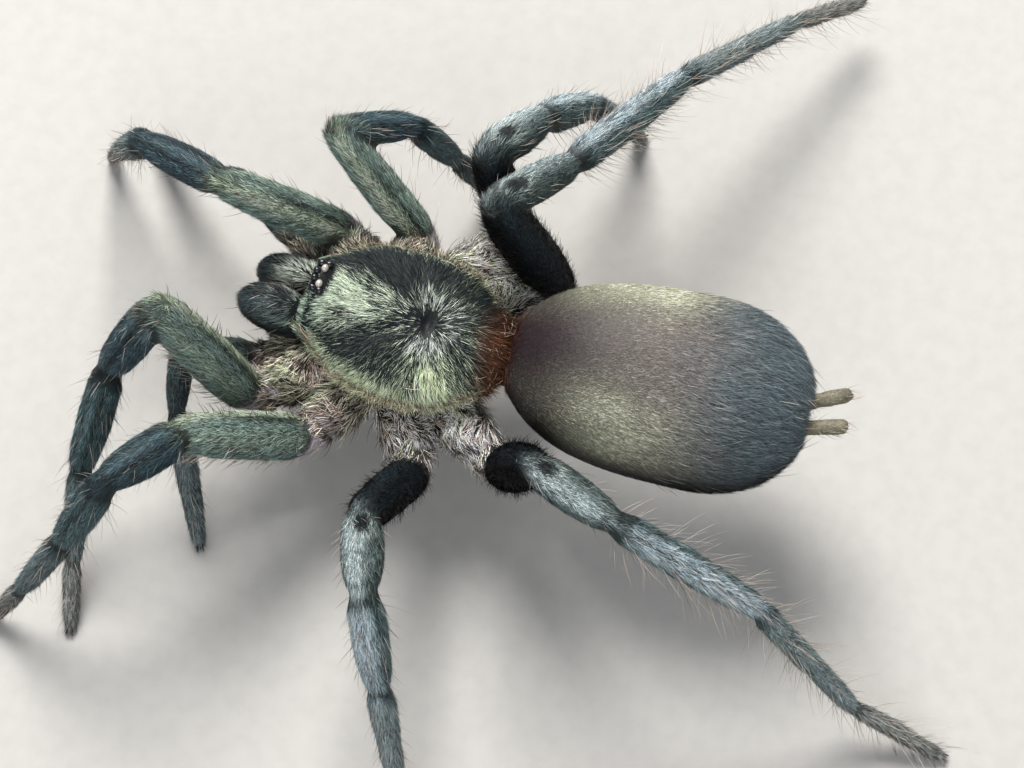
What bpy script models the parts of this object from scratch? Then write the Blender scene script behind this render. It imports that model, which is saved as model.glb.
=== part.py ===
"""Trapdoor spider, still and life size, one closed solid for each part of its body.

Metres, +Z up. The head looks to -Y, the spider's own left is +X, and all ten feet stand on z = 0.
The body is laid out in its own frame, where z = 0 is the level of the carapace margin, and that frame
is then lifted and tilted over the floor. Each leg starts at its hip and goes on by the compass turn
and the slope of its segments.
"""

import math
from collections import namedtuple

import bmesh
import bpy
from mathutils import Euler, Matrix, Vector

MM = 0.001
JOINT_GAP = 0.3 * MM

# Stance: the height of the carapace margin, the tilt of the body and the middle of the footprint.
MARGIN_HEIGHT = 8.0 * MM
HEAD_UP = math.radians(2)
LEFT_SIDE_DOWN = math.radians(6)
STANCE_CENTRE = Vector((-2.75, 5.09, 0)) * MM
TOE_HEIGHT = 0.3 * MM

# Carapace
CARAPACE_LENGTH = 9.0 * MM
CARAPACE_WIDTH = 6.75 * MM
CARAPACE_ASIDE = 0.17 * MM
CARAPACE_CROWN = 2.1 * MM
CARAPACE_RIM = 0.45 * MM
CARAPACE_RIM_SHARE = 0.96
CARAPACE_STATIONS = 17
CARAPACE_ARCH_POINTS = 13
FOVEA_Y = 1.2 * MM
FOVEA_REACH = 0.8 * MM
FOVEA_DEPTH = 0.25 * MM
HEAD_FACE_Y = -4.3 * MM

# Underside: the breastplate and the flanks that the hips grow from.
UNDERSIDE_CENTRE = Vector((0, -0.4, -2.0)) * MM
UNDERSIDE_SIZE = Vector((7.0, 9.0, 3.4)) * MM
UNDERSIDE_TOP = -0.65 * MM

# Eyes: a low mound with eight lenses in a compact group. Each pair of lenses has its distance across from
# the middle, its distance behind the mound's middle and its diameter, in millimetres.
EYE_MOUND_CENTRE = Vector((-0.1, -3.7, 1.62)) * MM
EYE_MOUND_SIZE = Vector((1.8, 1.05, 1.05)) * MM
EYE_MOUND_SEAT = Vector((-0.1, -3.7, 1.48)) * MM
EYE_MOUND_SLOPE = math.radians(24)
EYE_LENSES = ((0.17, -0.24, 0.34), (0.6, -0.18, 0.34), (0.64, 0.14, 0.34), (0.38, 0.05, 0.3))

# Jaws
CHELICERA_CENTRE = Vector((0.95, -5.5, -1.2)) * MM
RIGHT_JAW_SHIFT = Vector((-0.06, 0.1, -1.0)) * MM
CHELICERA_SIZE = Vector((2.05, 3.7, 3.7)) * MM
CHELICERA_NOD = math.radians(18)
FANG_LENGTH = 2.6 * MM
FANG_RADIUS = 0.45 * MM
FANG_TIP_RADIUS = 0.12 * MM
FANG_SINK = 0.3 * MM
FANG_BEND = math.radians(80)
FANG_STEPS = 7

# Waist and abdomen
PEDICEL_RADIUS = 0.9 * MM
PEDICEL_START = Vector((0, 3.65, -1.75)) * MM
PEDICEL_RISE = 0.4 * MM
ABDOMEN_LENGTH = 13.6 * MM
ABDOMEN_WIDTH = 8.7 * MM
ABDOMEN_HEIGHT = 7.8 * MM
ABDOMEN_CENTRE = Vector((-0.75, 11.25, 0.85)) * MM
ABDOMEN_SWING = math.radians(7)
ABDOMEN_STATIONS = 15
ABDOMEN_SIDES = 24
ABDOMEN_FRONT_CUT = 6.5 * MM
ABDOMEN_REAR_CUT = 6.5 * MM
SPINNERET_LENGTH = 1.6 * MM
SPINNERET_RADIUS = 0.37 * MM
SPINNERET_SPREAD = 0.54 * MM
SPINNERET_ASIDE = 0.15 * MM
SPINNERET_RAISE = 0.1 * MM
SPINNERET_SPLAY = 0.13
SPINNERET_SWAY = -0.38
SPINNERET_LIFT = 0.3

# Legs: the lengths of femur, patella, tibia, metatarsus and tarsus of each pair. A palp has no metatarsus.
LENGTHS = {
    "leg_1": (7.4, 4.2, 5.1, 4.3, 2.9),
    "leg_2": (7.0, 3.9, 4.7, 4.3, 2.9),
    "leg_3": (6.0, 3.7, 4.5, 4.8, 3.0),
    "leg_4": (7.0, 4.5, 7.6, 8.2, 4.5),
    "palp": (3.8, 2.8, 6.6),
}

# Radii, in millimetres with the coat, at the hip, mid femur, knee, mid patella and so on to the toe.
LEG_RADII = (0.92, 1.07, 0.84, 0.94, 0.72, 0.79, 0.62, 0.57, 0.46, 0.42, 0.36)
PALP_RADII = (0.6, 0.66, 0.56, 0.6, 0.5, 0.52, 0.34)
FEMUR_GIRTH = {"leg_3": 0.9, "leg_4": 1.09}
COXA_ROOT_RADIUS = 1.25 * MM
PALP_ROOT_RADIUS = 0.85 * MM
JAW_DIVIDE_SHARE = 0.45
LEG_SIDES = 12
FOOT_SIDES = 10
DOME_STEPS = 3

# One limb: where its hip root and its hip lie in the body frame, in millimetres, then the turn of each
# segment, in degrees from straight ahead out to its own side, and the slope of each segment. The last
# slope is left out: the toe drops to the floor, or to the height at which that foot is held raised. The
# girth is how full its coat lies next to that of the nearest leg.
Limb = namedtuple("Limb", "pair side root hip turns slopes girth raised", defaults=(1.0, 0.0))
LIMBS = (
    Limb("palp", "left", (1.8, -4.0, -2.5), (2.7, -6.0, -2.7), (36, 100, 120), (36, -46)),
    Limb("leg_1", "left", (2.3, -3.0, -1.9), (4.8, -5.3, -2.2), (2, 45, 83, 100, 107), (60, -53, -50, -43)),
    Limb("leg_2", "left", (2.9, -1.2, -1.9), (5.6, -2.4, -2.3), (41, 58, 45, 38, 36), (41, 9, -60, -58)),
    Limb("leg_3", "left", (2.9, 0.8, -1.9), (5.5, 2.5, -2.3), (82, 112, 121, 124, 121), (44, 12, -50, -58)),
    Limb("leg_4", "left", (2.3, 2.6, -1.9), (4.2, 6.0, -2.0), (137, 157, 180, 177, 178), (65, 16, -32, -55), 0.92),
    Limb("palp", "right", (1.8, -4.0, -2.5), (2.7, -6.0, -2.7), (31, 6, 37), (6, -33)),
    Limb("leg_1", "right", (2.3, -3.0, -1.9), (3.7, -3.8, -2.2), (-22, 12, 40, 43, 45), (45, -6, -60, -62), 0.88),
    Limb("leg_2", "right", (2.9, -1.2, -1.9), (4.4, -0.6, -2.2), (17, 138, 140, 135, 130), (47, -28, -66, -70), 0.82),
    Limb("leg_3", "right", (2.9, 0.8, -1.9), (5.6, 3.3, -2.2), (30, 112, 112, 120, 114), (69, -22, -44, -62)),
    Limb(
        "leg_4", "right", (2.3, 2.6, -1.9), (4.4, 5.6, -2.2), (-3, 120, 112, 117, 123), (65, -19, -17, -26), 0.95, 2.6
    ),
)

# Colours, roughness
COATS = {
    "carapace_down": ((0.035, 0.05, 0.03), 0.6),
    "abdomen_velvet": ((0.03, 0.033, 0.033), 0.75),
    "leg_hair": ((0.045, 0.085, 0.085), 0.65),
    "black_velvet": ((0.012, 0.013, 0.014), 0.8),
    "hip_fuzz": ((0.16, 0.14, 0.1), 0.75),
    "jaw_hair": ((0.03, 0.05, 0.055), 0.6),
    "eye_lens": ((0.005, 0.005, 0.006), 0.08),
    "fang_horn": ((0.03, 0.012, 0.008), 0.25),
    "waist_rust": ((0.2, 0.07, 0.025), 0.75),
    "spinneret_skin": ((0.3, 0.28, 0.16), 0.55),
}

BODY_FRAME = (
    Matrix.Translation((0, 0, MARGIN_HEIGHT))
    @ Euler((-HEAD_UP, LEFT_SIDE_DOWN, 0), "XYZ").to_matrix().to_4x4()
)


def clear_scene():
    for obj in list(bpy.data.objects):
        bpy.data.objects.remove(obj)


def coat_material(name):
    """The material of this name, made once."""
    material = bpy.data.materials.get(name)
    if material:
        return material
    colour, roughness = COATS[name]
    material = bpy.data.materials.new(name)
    material.use_nodes = True
    shader = material.node_tree.nodes["Principled BSDF"]
    shader.inputs["Base Color"].default_value = (*colour, 1)
    shader.inputs["Roughness"].default_value = roughness
    shader.inputs["Metallic"].default_value = 0
    return material


def place(name, shape, origin, coat, parent):
    """Turns a bmesh in world coordinates into a smooth object whose origin is the given point."""
    bmesh.ops.recalc_face_normals(shape, faces=shape.faces)
    bmesh.ops.translate(shape, verts=shape.verts, vec=-origin)
    mesh = bpy.data.meshes.new(name)
    shape.to_mesh(mesh)
    shape.free()
    mesh.materials.append(coat_material(coat))
    mesh.shade_smooth()
    mesh.set_sharp_from_angle(angle=math.radians(40))
    obj = bpy.data.objects.new(name, mesh)
    bpy.context.scene.collection.objects.link(obj)
    obj.location = origin
    obj.parent = parent
    return obj


def empty(name, parent=None):
    obj = bpy.data.objects.new(name, None)
    bpy.context.scene.collection.objects.link(obj)
    obj.parent = parent
    return obj


def skin_rings(shape, rings, closed_ends=True):
    """Joins rings of equally many points with quads. A ring of one point is a pole."""
    rows = [[shape.verts.new(point) for point in ring] for ring in rings]
    for lower, upper in zip(rows, rows[1:]):
        count = max(len(lower), len(upper))
        for i in range(count):
            j = (i + 1) % count
            corners = [lower[i % len(lower)], lower[j % len(lower)]]
            corners += [upper[j % len(upper)], upper[i % len(upper)]]
            shape.faces.new(list(dict.fromkeys(corners)))
    if closed_ends:
        for row in (rows[0], rows[-1]):
            if len(row) > 2:
                shape.faces.new(row)


def trim(shape, point, normal, gap=JOINT_GAP / 2):
    """Cuts off what lies beyond the plane, less half a joint gap, and closes the cut with a flat face."""
    normal = normal.normalized()
    everything = shape.verts[:] + shape.edges[:] + shape.faces[:]
    bmesh.ops.bisect_plane(
        shape, geom=everything, dist=1e-9, plane_co=point - normal * gap, plane_no=normal, clear_outer=True
    )
    rim = [edge for edge in shape.edges if edge.is_boundary]
    if rim:
        bmesh.ops.holes_fill(shape, edges=rim, sides=0)


def across(axis):
    """Two unit vectors square to an axis, the first one level."""
    level = axis.cross(Vector((0, 0, 1)))
    if level.length < 1e-3:
        level = Vector((1, 0, 0))
    level.normalize()
    return level, level.cross(axis).normalized()


def ring(centre, axis, radius, sides):
    level, rise = across(axis)
    turns = (2 * math.pi * i / sides for i in range(sides))
    return [centre + radius * (math.cos(turn) * level + math.sin(turn) * rise) for turn in turns]


def dome_rings(centre, axis, radius, sides, leading):
    """The rings of a half ball at the start of a segment, or at its end in reverse."""
    sign = -1 if leading else 1
    found = [[centre + sign * radius * axis]]
    for step in range(1, DOME_STEPS):
        lean = math.pi / 2 * step / DOME_STEPS
        middle = centre + sign * radius * math.cos(lean) * axis
        found.append(ring(middle, axis, radius * math.sin(lean), sides))
    return found if leading else found[::-1]


def swell(start, middle, end, share):
    """A smooth radius through three values along a segment."""
    return (
        start * (1 - share) * (1 - 2 * share) + middle * 4 * share * (1 - share) + end * share * (2 * share - 1)
    )


def limb_piece(points, radii, sides, steps=4):
    """A round-ended piece along joints, with a radius at each joint and one half way between them."""
    shape = bmesh.new()
    directions = [(b - a).normalized() for a, b in zip(points, points[1:])]
    rings = dome_rings(points[0], directions[0], radii[0], sides, leading=True)
    for index, direction in enumerate(directions):
        start, middle, end = radii[2 * index : 2 * index + 3]
        for step in range(steps):
            share = step / steps
            centre = points[index].lerp(points[index + 1], share)
            axis = direction
            if step == 0 and index > 0:
                axis = (direction + directions[index - 1]).normalized()
            rings.append(ring(centre, axis, swell(start, middle, end, share), sides))
    rings.append(ring(points[-1], directions[-1], radii[-1], sides))
    rings += dome_rings(points[-1], directions[-1], radii[-1], sides, leading=False)
    skin_rings(shape, rings)
    return shape


def compass(turn, slope, side):
    """The unit vector of a segment: 0 turn is straight ahead, 90 is out to its own side."""
    turn, slope = math.radians(turn), math.radians(slope)
    outward = 1 if side == "left" else -1
    return Vector(
        (outward * math.sin(turn) * math.cos(slope), -math.cos(turn) * math.cos(slope), math.sin(slope))
    )


def limb_joints(limb):
    """World points of a limb from its hip root to its toe, with the toe let down to its height."""
    outward = 1 if limb.side == "left" else -1
    in_body = [Vector((outward * x, y, z)) * MM for x, y, z in (limb.root, limb.hip)]
    points = [BODY_FRAME @ point for point in in_body]
    lengths = LENGTHS[limb.pair]
    for length, turn, slope in zip(lengths, limb.turns, limb.slopes):
        points.append(points[-1] + compass(turn, slope, limb.side) * length * MM)
    drop = (points[-1].z - TOE_HEIGHT - limb.raised * MM) / (lengths[-1] * MM)
    last_slope = -math.degrees(math.asin(min(drop, 1)))
    points.append(points[-1] + compass(limb.turns[-1], last_slope, limb.side) * lengths[-1] * MM)
    return points


def joint_plane(points, index):
    """The plane half way round the bend at a joint, square to the limb there."""
    before = (points[index] - points[index - 1]).normalized()
    after = (points[index + 1] - points[index]).normalized()
    return points[index], (before + after).normalized()


def coxa_divides(side):
    """Upright planes between neighbouring hips of one side, from the palp back to leg 4."""
    limbs = [limb for limb in LIMBS if limb.side == side]
    outward = 1 if side == "left" else -1
    planes = []
    for fore, aft in zip(limbs, limbs[1:]):
        root = (Vector(fore.root) + Vector(aft.root)) / 2 * MM
        hip = (Vector(fore.hip) + Vector(aft.hip)) / 2 * MM
        along = hip - root
        normal = Vector((-along.y, along.x, 0)).normalized()
        root.x *= outward
        normal.x *= outward
        planes.append((BODY_FRAME @ root, BODY_FRAME.to_3x3() @ normal))
    return planes


def jaw_divide(limb):
    """The plane between a palp's hip and the jaw beside it, in the body frame."""
    outward = 1 if limb.side == "left" else -1
    hip_middle = (Vector(limb.root) + Vector(limb.hip)) / 2 * MM
    across_gap = CHELICERA_CENTRE - hip_middle
    point = hip_middle + across_gap * JAW_DIVIDE_SHARE
    point.x *= outward
    across_gap.x *= outward
    return point, across_gap


def build_coxa(limb, points, order, parent):
    """Hip and trochanter, from the flank of the underside to the femur."""
    end_radius = limb_radii(limb)[0]
    root_radius = PALP_ROOT_RADIUS if limb.pair == "palp" else COXA_ROOT_RADIUS
    shape = limb_piece(points[:2], (root_radius, root_radius, end_radius), LEG_SIDES, steps=3)
    trim(shape, points[0], points[0] - points[1])
    centre, normal = joint_plane(points, 1)
    trim(shape, centre, normal)
    divides = coxa_divides(limb.side)
    if order > 0:
        trim(shape, divides[order - 1][0], -divides[order - 1][1])
    if order < len(divides):
        trim(shape, *divides[order])
    if limb.pair == "palp":
        point, towards_jaw = jaw_divide(limb)
        trim(shape, BODY_FRAME @ point, BODY_FRAME.to_3x3() @ towards_jaw)
    place(f"{limb.pair}_{limb.side}_coxa", shape, points[0], "hip_fuzz", parent)


def limb_radii(limb):
    """The radii of a limb from hip to toe, in metres."""
    if limb.pair == "palp":
        return [radius * MM for radius in PALP_RADII]
    radii = [radius * limb.girth * MM for radius in LEG_RADII]
    radii[1] *= FEMUR_GIRTH.get(limb.pair, 1.0)
    radii[-1] = LEG_RADII[-1] * MM
    return radii


def build_limb(limb, order, parent):
    """All the nodes of one leg or palp."""
    points = limb_joints(limb)
    radii = limb_radii(limb)
    holder = empty(f"{limb.pair}_{limb.side}", parent)
    build_coxa(limb, points, order, holder)
    names = ("femur", "patella", "tibia", "foot") if limb.pair != "palp" else ("femur", "patella", "foot")
    dark_femur = limb.pair in ("leg_3", "leg_4")
    for index, name in enumerate(names):
        first = index + 1
        last = len(points) - 1 if name == "foot" else first + 1
        sides = FOOT_SIDES if name == "foot" else LEG_SIDES
        shape = limb_piece(points[first : last + 1], radii[2 * index : 2 * (last - 1) + 1], sides)
        centre, normal = joint_plane(points, first)
        trim(shape, centre, -normal)
        if name == "foot" and not limb.raised:
            trim(shape, Vector((0, 0, 0)), Vector((0, 0, -1)), gap=0)
        elif name != "foot":
            trim(shape, *joint_plane(points, last))
        coat = "black_velvet" if name == "femur" and dark_femur else "leg_hair"
        place(f"{limb.pair}_{limb.side}_{name}", shape, points[first], coat, holder)


def body_ball(centre, size, rows=10, sides=20, turn=None):
    """A ball of three given diameters in the body frame, its poles fore and aft."""
    shape = bmesh.new()
    rings = []
    for row in range(rows + 1):
        lean = math.pi * row / rows
        reach, girth = -math.cos(lean), math.sin(lean)
        if row in (0, rows):
            rings.append([Vector((0, reach * size.y / 2, 0))])
            continue
        turns = (2 * math.pi * i / sides for i in range(sides))
        rings.append(
            [
                Vector((girth * math.cos(t) * size.x / 2, reach * size.y / 2, girth * math.sin(t) * size.z / 2))
                for t in turns
            ]
        )
    skin_rings(shape, rings)
    move = Matrix.Translation(centre) @ (turn or Matrix.Identity(4))
    bmesh.ops.transform(shape, matrix=move, verts=shape.verts)
    return shape


def carapace_half_width(share):
    """Half width from the head, share 0, to the rear edge, share 1: widest behind the middle."""
    head = 0.5 + 0.32 * min(share / 0.3, 1)
    flank = 0.18 * math.sin(math.pi * min(max((share - 0.1) / 0.95, 0), 1))
    rear = math.sqrt(max(1 - max((share - 0.56) / 0.46, 0) ** 2.4, 0))
    front = math.sqrt(max(1 - max((0.06 - share) / 0.14, 0) ** 2, 0))
    return CARAPACE_WIDTH / 2 * (head + flank) * rear * front


def carapace_height(share):
    """Height of the ridge above the margin: a raised head, a dip at its root and a low rounded back."""
    head = 0.88 + 0.12 * math.sin(math.pi * min(share / 0.55, 1))
    fall = math.sqrt(max(1 - max((share - 0.35) / 0.68, 0) ** 2.6, 0))
    rise = math.sqrt(max(1 - max((0.16 - share) / 0.24, 0) ** 2, 0))
    return CARAPACE_CROWN * head * fall * rise


def carapace_arch(share):
    """One closed section of the carapace: an arch over a flat underside."""
    y = (share - 0.5) * CARAPACE_LENGTH
    half, high = carapace_half_width(share), carapace_height(share)
    section = []
    for i in range(CARAPACE_ARCH_POINTS):
        lean = math.pi * i / (CARAPACE_ARCH_POINTS - 1)
        x = half * math.cos(lean)
        z = high * math.sin(lean)
        near_fovea = math.hypot(x, y - FOVEA_Y) / FOVEA_REACH
        z -= FOVEA_DEPTH * math.exp(-(near_fovea**2))
        section.append(Vector((x + CARAPACE_ASIDE, y, z)))
    reach = half * CARAPACE_RIM_SHARE
    rim = [Vector((sign * reach + CARAPACE_ASIDE, y, -CARAPACE_RIM)) for sign in (-1, 1)]
    return section + rim


def build_carapace(parent):
    shape = bmesh.new()
    shares = [0.02 + 0.965 * step / (CARAPACE_STATIONS - 1) for step in range(CARAPACE_STATIONS)]
    skin_rings(shape, [carapace_arch(share) for share in shares])
    trim(shape, Vector((0, HEAD_FACE_Y, 0)), Vector((0, -1, 0)))
    trim(shape, EYE_MOUND_SEAT, eye_seat_normal())
    place("carapace", shape, Vector((0, 0, 0)), "carapace_down", parent)


def eye_seat_normal():
    """The eye mound leans forward on the slope of the head."""
    return Vector((0, -math.sin(EYE_MOUND_SLOPE), math.cos(EYE_MOUND_SLOPE)))


def joined(name, shapes, coat, parent):
    """One object from closed shapes that overlap, by a Boolean union whose result is kept."""
    origin = Vector((0, 0, 0))
    base = place(name, shapes[0], origin, coat, parent)
    others = bpy.data.collections.new(name + "_pieces")
    bpy.context.scene.collection.children.link(others)
    for number, shape in enumerate(shapes[1:]):
        piece = place(f"{name}_piece_{number}", shape, origin, coat, parent)
        bpy.context.scene.collection.objects.unlink(piece)
        others.objects.link(piece)
    union = base.modifiers.new("join", "BOOLEAN")
    union.operation = "UNION"
    union.operand_type = "COLLECTION"
    union.collection = others
    graph = bpy.context.evaluated_depsgraph_get()
    whole = bpy.data.meshes.new_from_object(base.evaluated_get(graph))
    base.modifiers.clear()
    base.data = whole
    for piece in list(others.objects):
        bpy.data.objects.remove(piece)
    bpy.data.collections.remove(others)
    keep_largest(base)
    return base


def keep_largest(obj):
    """Drops all but the closed surface of greatest volume."""
    shape = bmesh.new()
    shape.from_mesh(obj.data)
    islands, seen = [], set()
    for start in shape.verts:
        if start in seen:
            continue
        island, edge_of_search = set(), [start]
        while edge_of_search:
            vert = edge_of_search.pop()
            if vert not in island:
                island.add(vert)
                edge_of_search += [edge.other_vert(vert) for edge in vert.link_edges]
        seen |= island
        islands.append(island)
    islands.sort(key=len)
    spare = [vert for island in islands[:-1] for vert in island]
    bmesh.ops.delete(shape, geom=spare, context="VERTS")
    shape.to_mesh(obj.data)
    shape.free()


def build_eyes(parent):
    """The mound and its lenses: two in front, two small behind, and two big ones at each side."""
    mound = body_ball(EYE_MOUND_CENTRE, EYE_MOUND_SIZE, rows=8, sides=14)
    trim(mound, EYE_MOUND_SEAT, -eye_seat_normal())
    shapes = [mound]
    for across_mm, behind_mm, diameter_mm in EYE_LENSES:
        for sign in (-1, 1):
            x, y = sign * across_mm * MM, behind_mm * MM
            far = (2 * x / EYE_MOUND_SIZE.x) ** 2 + (2 * y / EYE_MOUND_SIZE.y) ** 2
            lift = math.sqrt(max(1 - far, 0.05))
            centre = EYE_MOUND_CENTRE + Vector((x * 0.95, y * 0.95, lift * EYE_MOUND_SIZE.z / 2 * 0.9))
            shapes.append(body_ball(centre, Vector((1, 1, 1)) * diameter_mm * MM, rows=6, sides=8))
    joined("eye_mound", shapes, "eye_lens", parent)


def build_underside(parent):
    shape = body_ball(UNDERSIDE_CENTRE, UNDERSIDE_SIZE, rows=14, sides=28)
    trim(shape, Vector((0, 0, UNDERSIDE_TOP)), Vector((0, 0, 1)), gap=0)
    for limb in LIMBS:
        outward = 1 if limb.side == "left" else -1
        root, hip = (Vector((outward * x, y, z)) * MM for x, y, z in (limb.root, limb.hip))
        trim(shape, root, hip - root)
    trim(shape, PEDICEL_START, Vector((0, 1, 0)))
    trim(shape, Vector((0, HEAD_FACE_Y, 0)), Vector((0, -1, 0)))
    place("cephalothorax_underside", shape, Vector((0, 0, 0)), "hip_fuzz", parent)


def build_jaws(parent):
    """Two stout chelicerae side by side, with a fang folded back under each."""
    nod = Matrix.Rotation(CHELICERA_NOD, 4, "X")
    palps = {limb.side: limb for limb in LIMBS if limb.pair == "palp"}
    for side, outward in (("left", 1), ("right", -1)):
        centre = CHELICERA_CENTRE + (RIGHT_JAW_SHIFT if side == "right" else Vector())
        centre.x *= outward
        shape = body_ball(centre, CHELICERA_SIZE, rows=12, sides=18, turn=nod)
        trim(shape, Vector((0, HEAD_FACE_Y, 0)), Vector((0, 1, 0)))
        trim(shape, Vector((0, 0, 0)), Vector((-outward, 0, 0)))
        point, towards_jaw = jaw_divide(palps[side])
        trim(shape, point, -towards_jaw)
        root = centre + nod @ Vector((0, -0.3 * CHELICERA_SIZE.y, -0.4 * CHELICERA_SIZE.z))
        down = Vector((0, -0.25, -1)).normalized()
        trim(shape, root, down)
        place(f"chelicera_{side}", shape, Vector((0, 0, 0)), "jaw_hair", parent)
        build_fang(side, root, down, parent)


def build_fang(side, root, down, parent):
    """A tapered horn that curves back from the tip of the jaw."""
    shape = bmesh.new()
    rings, point = [], root - down * FANG_SINK
    for step in range(FANG_STEPS + 1):
        share = step / FANG_STEPS
        axis = Matrix.Rotation(share * FANG_BEND, 3, "X") @ down
        radius = FANG_RADIUS + (FANG_TIP_RADIUS - FANG_RADIUS) * share
        rings.append(ring(point, axis, radius, 10))
        point = point + axis * FANG_LENGTH / FANG_STEPS
    skin_rings(shape, rings)
    trim(shape, root, -down)
    place(f"fang_{side}", shape, Vector((0, 0, 0)), "fang_horn", parent)


def abdomen_girth(share):
    """Share of the full width from the waist end, 0, to the spinnerets, 1: blunt in front."""
    front = (1 - max(1 - share / 0.62, 0) ** 2.8) ** 0.5
    rear = (1 - max((share - 0.62) / 0.38, 0) ** 2.3) ** 0.5
    return front * rear


def abdomen_frame():
    return Matrix.Translation(ABDOMEN_CENTRE) @ Matrix.Rotation(ABDOMEN_SWING, 4, "Z")


def build_abdomen(parent):
    shape = bmesh.new()
    rings = []
    for station in range(ABDOMEN_STATIONS + 1):
        share = 0.5 - 0.5 * math.cos(math.pi * station / ABDOMEN_STATIONS)
        y = (share - 0.5) * ABDOMEN_LENGTH
        girth = abdomen_girth(share)
        if girth < 0.02:
            rings.append([Vector((0, y, 0))])
            continue
        turns = (2 * math.pi * i / ABDOMEN_SIDES for i in range(ABDOMEN_SIDES))
        half, high = girth * ABDOMEN_WIDTH / 2, girth * ABDOMEN_HEIGHT / 2
        rings.append([Vector((half * math.cos(t), y, high * math.sin(t))) for t in turns])
    skin_rings(shape, rings)
    bmesh.ops.transform(shape, matrix=abdomen_frame(), verts=shape.verts)
    front, rear = abdomen_cuts()
    trim(shape, *front)
    trim(shape, *rear)
    place("abdomen", shape, Vector((0, 0, 0)), "abdomen_velvet", parent)


def abdomen_cuts():
    """The flat seats of the waist and of the spinnerets, each a point and an outward normal."""
    frame = abdomen_frame()
    back = frame.to_3x3() @ Vector((0, 1, 0))
    front, rear = frame @ Vector((0, -ABDOMEN_FRONT_CUT, 0)), frame @ Vector((0, ABDOMEN_REAR_CUT, 0))
    return (front, -back), (rear, back)


def build_pedicel(parent):
    (seat, ahead), _ = abdomen_cuts()
    end = Vector((seat.x, seat.y, PEDICEL_START.z + PEDICEL_RISE))
    beyond = (end - PEDICEL_START).normalized() * 0.8 * MM
    shape = limb_piece(
        [PEDICEL_START - beyond, end + beyond], (PEDICEL_RADIUS, PEDICEL_RADIUS, PEDICEL_RADIUS), LEG_SIDES
    )
    trim(shape, PEDICEL_START, Vector((0, -1, 0)))
    trim(shape, seat, -ahead)
    place("pedicel", shape, Vector((0, 0, 0)), "waist_rust", parent)


def build_spinnerets(parent):
    """Two short round-ended stubs behind the abdomen."""
    _, (seat, back) = abdomen_cuts()
    sideways = abdomen_frame().to_3x3() @ Vector((1, 0, 0))
    for side, outward in (("left", 1), ("right", -1)):
        aside = SPINNERET_ASIDE + outward * SPINNERET_SPREAD
        root = seat + aside * sideways + Vector((0, 0, SPINNERET_RAISE))
        swing = SPINNERET_SWAY + SPINNERET_SPLAY * outward
        ahead = back + swing * sideways + Vector((0, 0, SPINNERET_LIFT))
        tip = root + ahead.normalized() * SPINNERET_LENGTH
        radii = (SPINNERET_RADIUS, SPINNERET_RADIUS, SPINNERET_RADIUS * 0.85)
        shape = limb_piece([root, tip], radii, 10, steps=2)
        trim(shape, seat, -back)
        place(f"spinneret_{side}", shape, Vector((0, 0, 0)), "spinneret_skin", parent)


def main():
    clear_scene()
    spider = empty("trapdoor_spider")
    spider.location = -STANCE_CENTRE
    body = empty("body_frame", spider)
    body.matrix_local = BODY_FRAME
    build_carapace(body)
    build_eyes(body)
    build_underside(body)
    build_jaws(body)
    build_pedicel(body)
    build_abdomen(body)
    build_spinnerets(body)
    for side in ("left", "right"):
        for order, limb in enumerate(limb for limb in LIMBS if limb.side == side):
            build_limb(limb, order, spider)


main()
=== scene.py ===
"""Visual model of the trapdoor spider: one skin, its coat, bristles, eyes, fangs and claws.

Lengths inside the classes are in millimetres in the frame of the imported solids, and every mesh is
written in metres. The body is laid out in its own frame, where z = 0 is the level of the carapace
margin, as the solids are.
"""

import itertools
import logging
import math
from dataclasses import dataclass, field
from enum import Enum

import bpy
import numpy as np
from mathutils import Euler, Matrix, Vector


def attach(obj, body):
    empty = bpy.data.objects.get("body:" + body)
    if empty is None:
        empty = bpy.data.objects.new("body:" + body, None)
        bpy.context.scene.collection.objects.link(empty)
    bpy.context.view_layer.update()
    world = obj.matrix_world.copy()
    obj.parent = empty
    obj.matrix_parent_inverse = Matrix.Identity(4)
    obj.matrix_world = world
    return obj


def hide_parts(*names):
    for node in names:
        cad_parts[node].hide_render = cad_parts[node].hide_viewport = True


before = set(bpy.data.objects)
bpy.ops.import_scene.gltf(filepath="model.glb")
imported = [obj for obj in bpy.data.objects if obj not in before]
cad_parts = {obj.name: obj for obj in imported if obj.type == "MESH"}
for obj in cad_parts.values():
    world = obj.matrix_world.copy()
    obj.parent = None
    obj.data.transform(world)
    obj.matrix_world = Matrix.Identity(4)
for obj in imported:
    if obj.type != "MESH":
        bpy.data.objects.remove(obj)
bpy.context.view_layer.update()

Array = np.ndarray
Colour = tuple[float, float, float]
LOG = logging.getLogger("trapdoor_spider")

MM = 0.001
SEED = 4171
UP = np.array([0.0, 0.0, 1.0])
FLOOR_CLEARANCE = 0.03
STANCE_CENTRE = np.array([-2.75, 5.09, 0.0])
MARGIN_HEIGHT = 8.0
TOE_HEIGHT = 0.3
BODY_TILT = Euler((math.radians(-2), math.radians(6), 0), "XYZ")
BODY_TURN = np.array(BODY_TILT.to_matrix())
BODY_LIFT = np.array([0.0, 0.0, MARGIN_HEIGHT]) - STANCE_CENTRE
SKIN_VOXEL = 0.165
BLEND_REACH = 0.16
UV_PATCH = 0.003
PIECE_LIMIT = 195000
LOCK_SIZE = 0.42
TUFT_STEPS = {"coat_hips": 3, "coat_carapace": 2, "coat_head": 2, "coat_spinnerets": 2}
HORN_STEPS = 4
RELIEF_DEPTH = 0.03
HASH_STEPS = np.array([374761393, 668265263, 2147483647])
HASH_FACTOR = 1274126177
HASH_MASK = 0xFFFFFFFF
HASH_TOP = 0xFFFF
DOME_ANGLES = (25, 50, 72)
SIDES = {"left": 1, "right": -1}


# Vectors and noise


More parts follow.
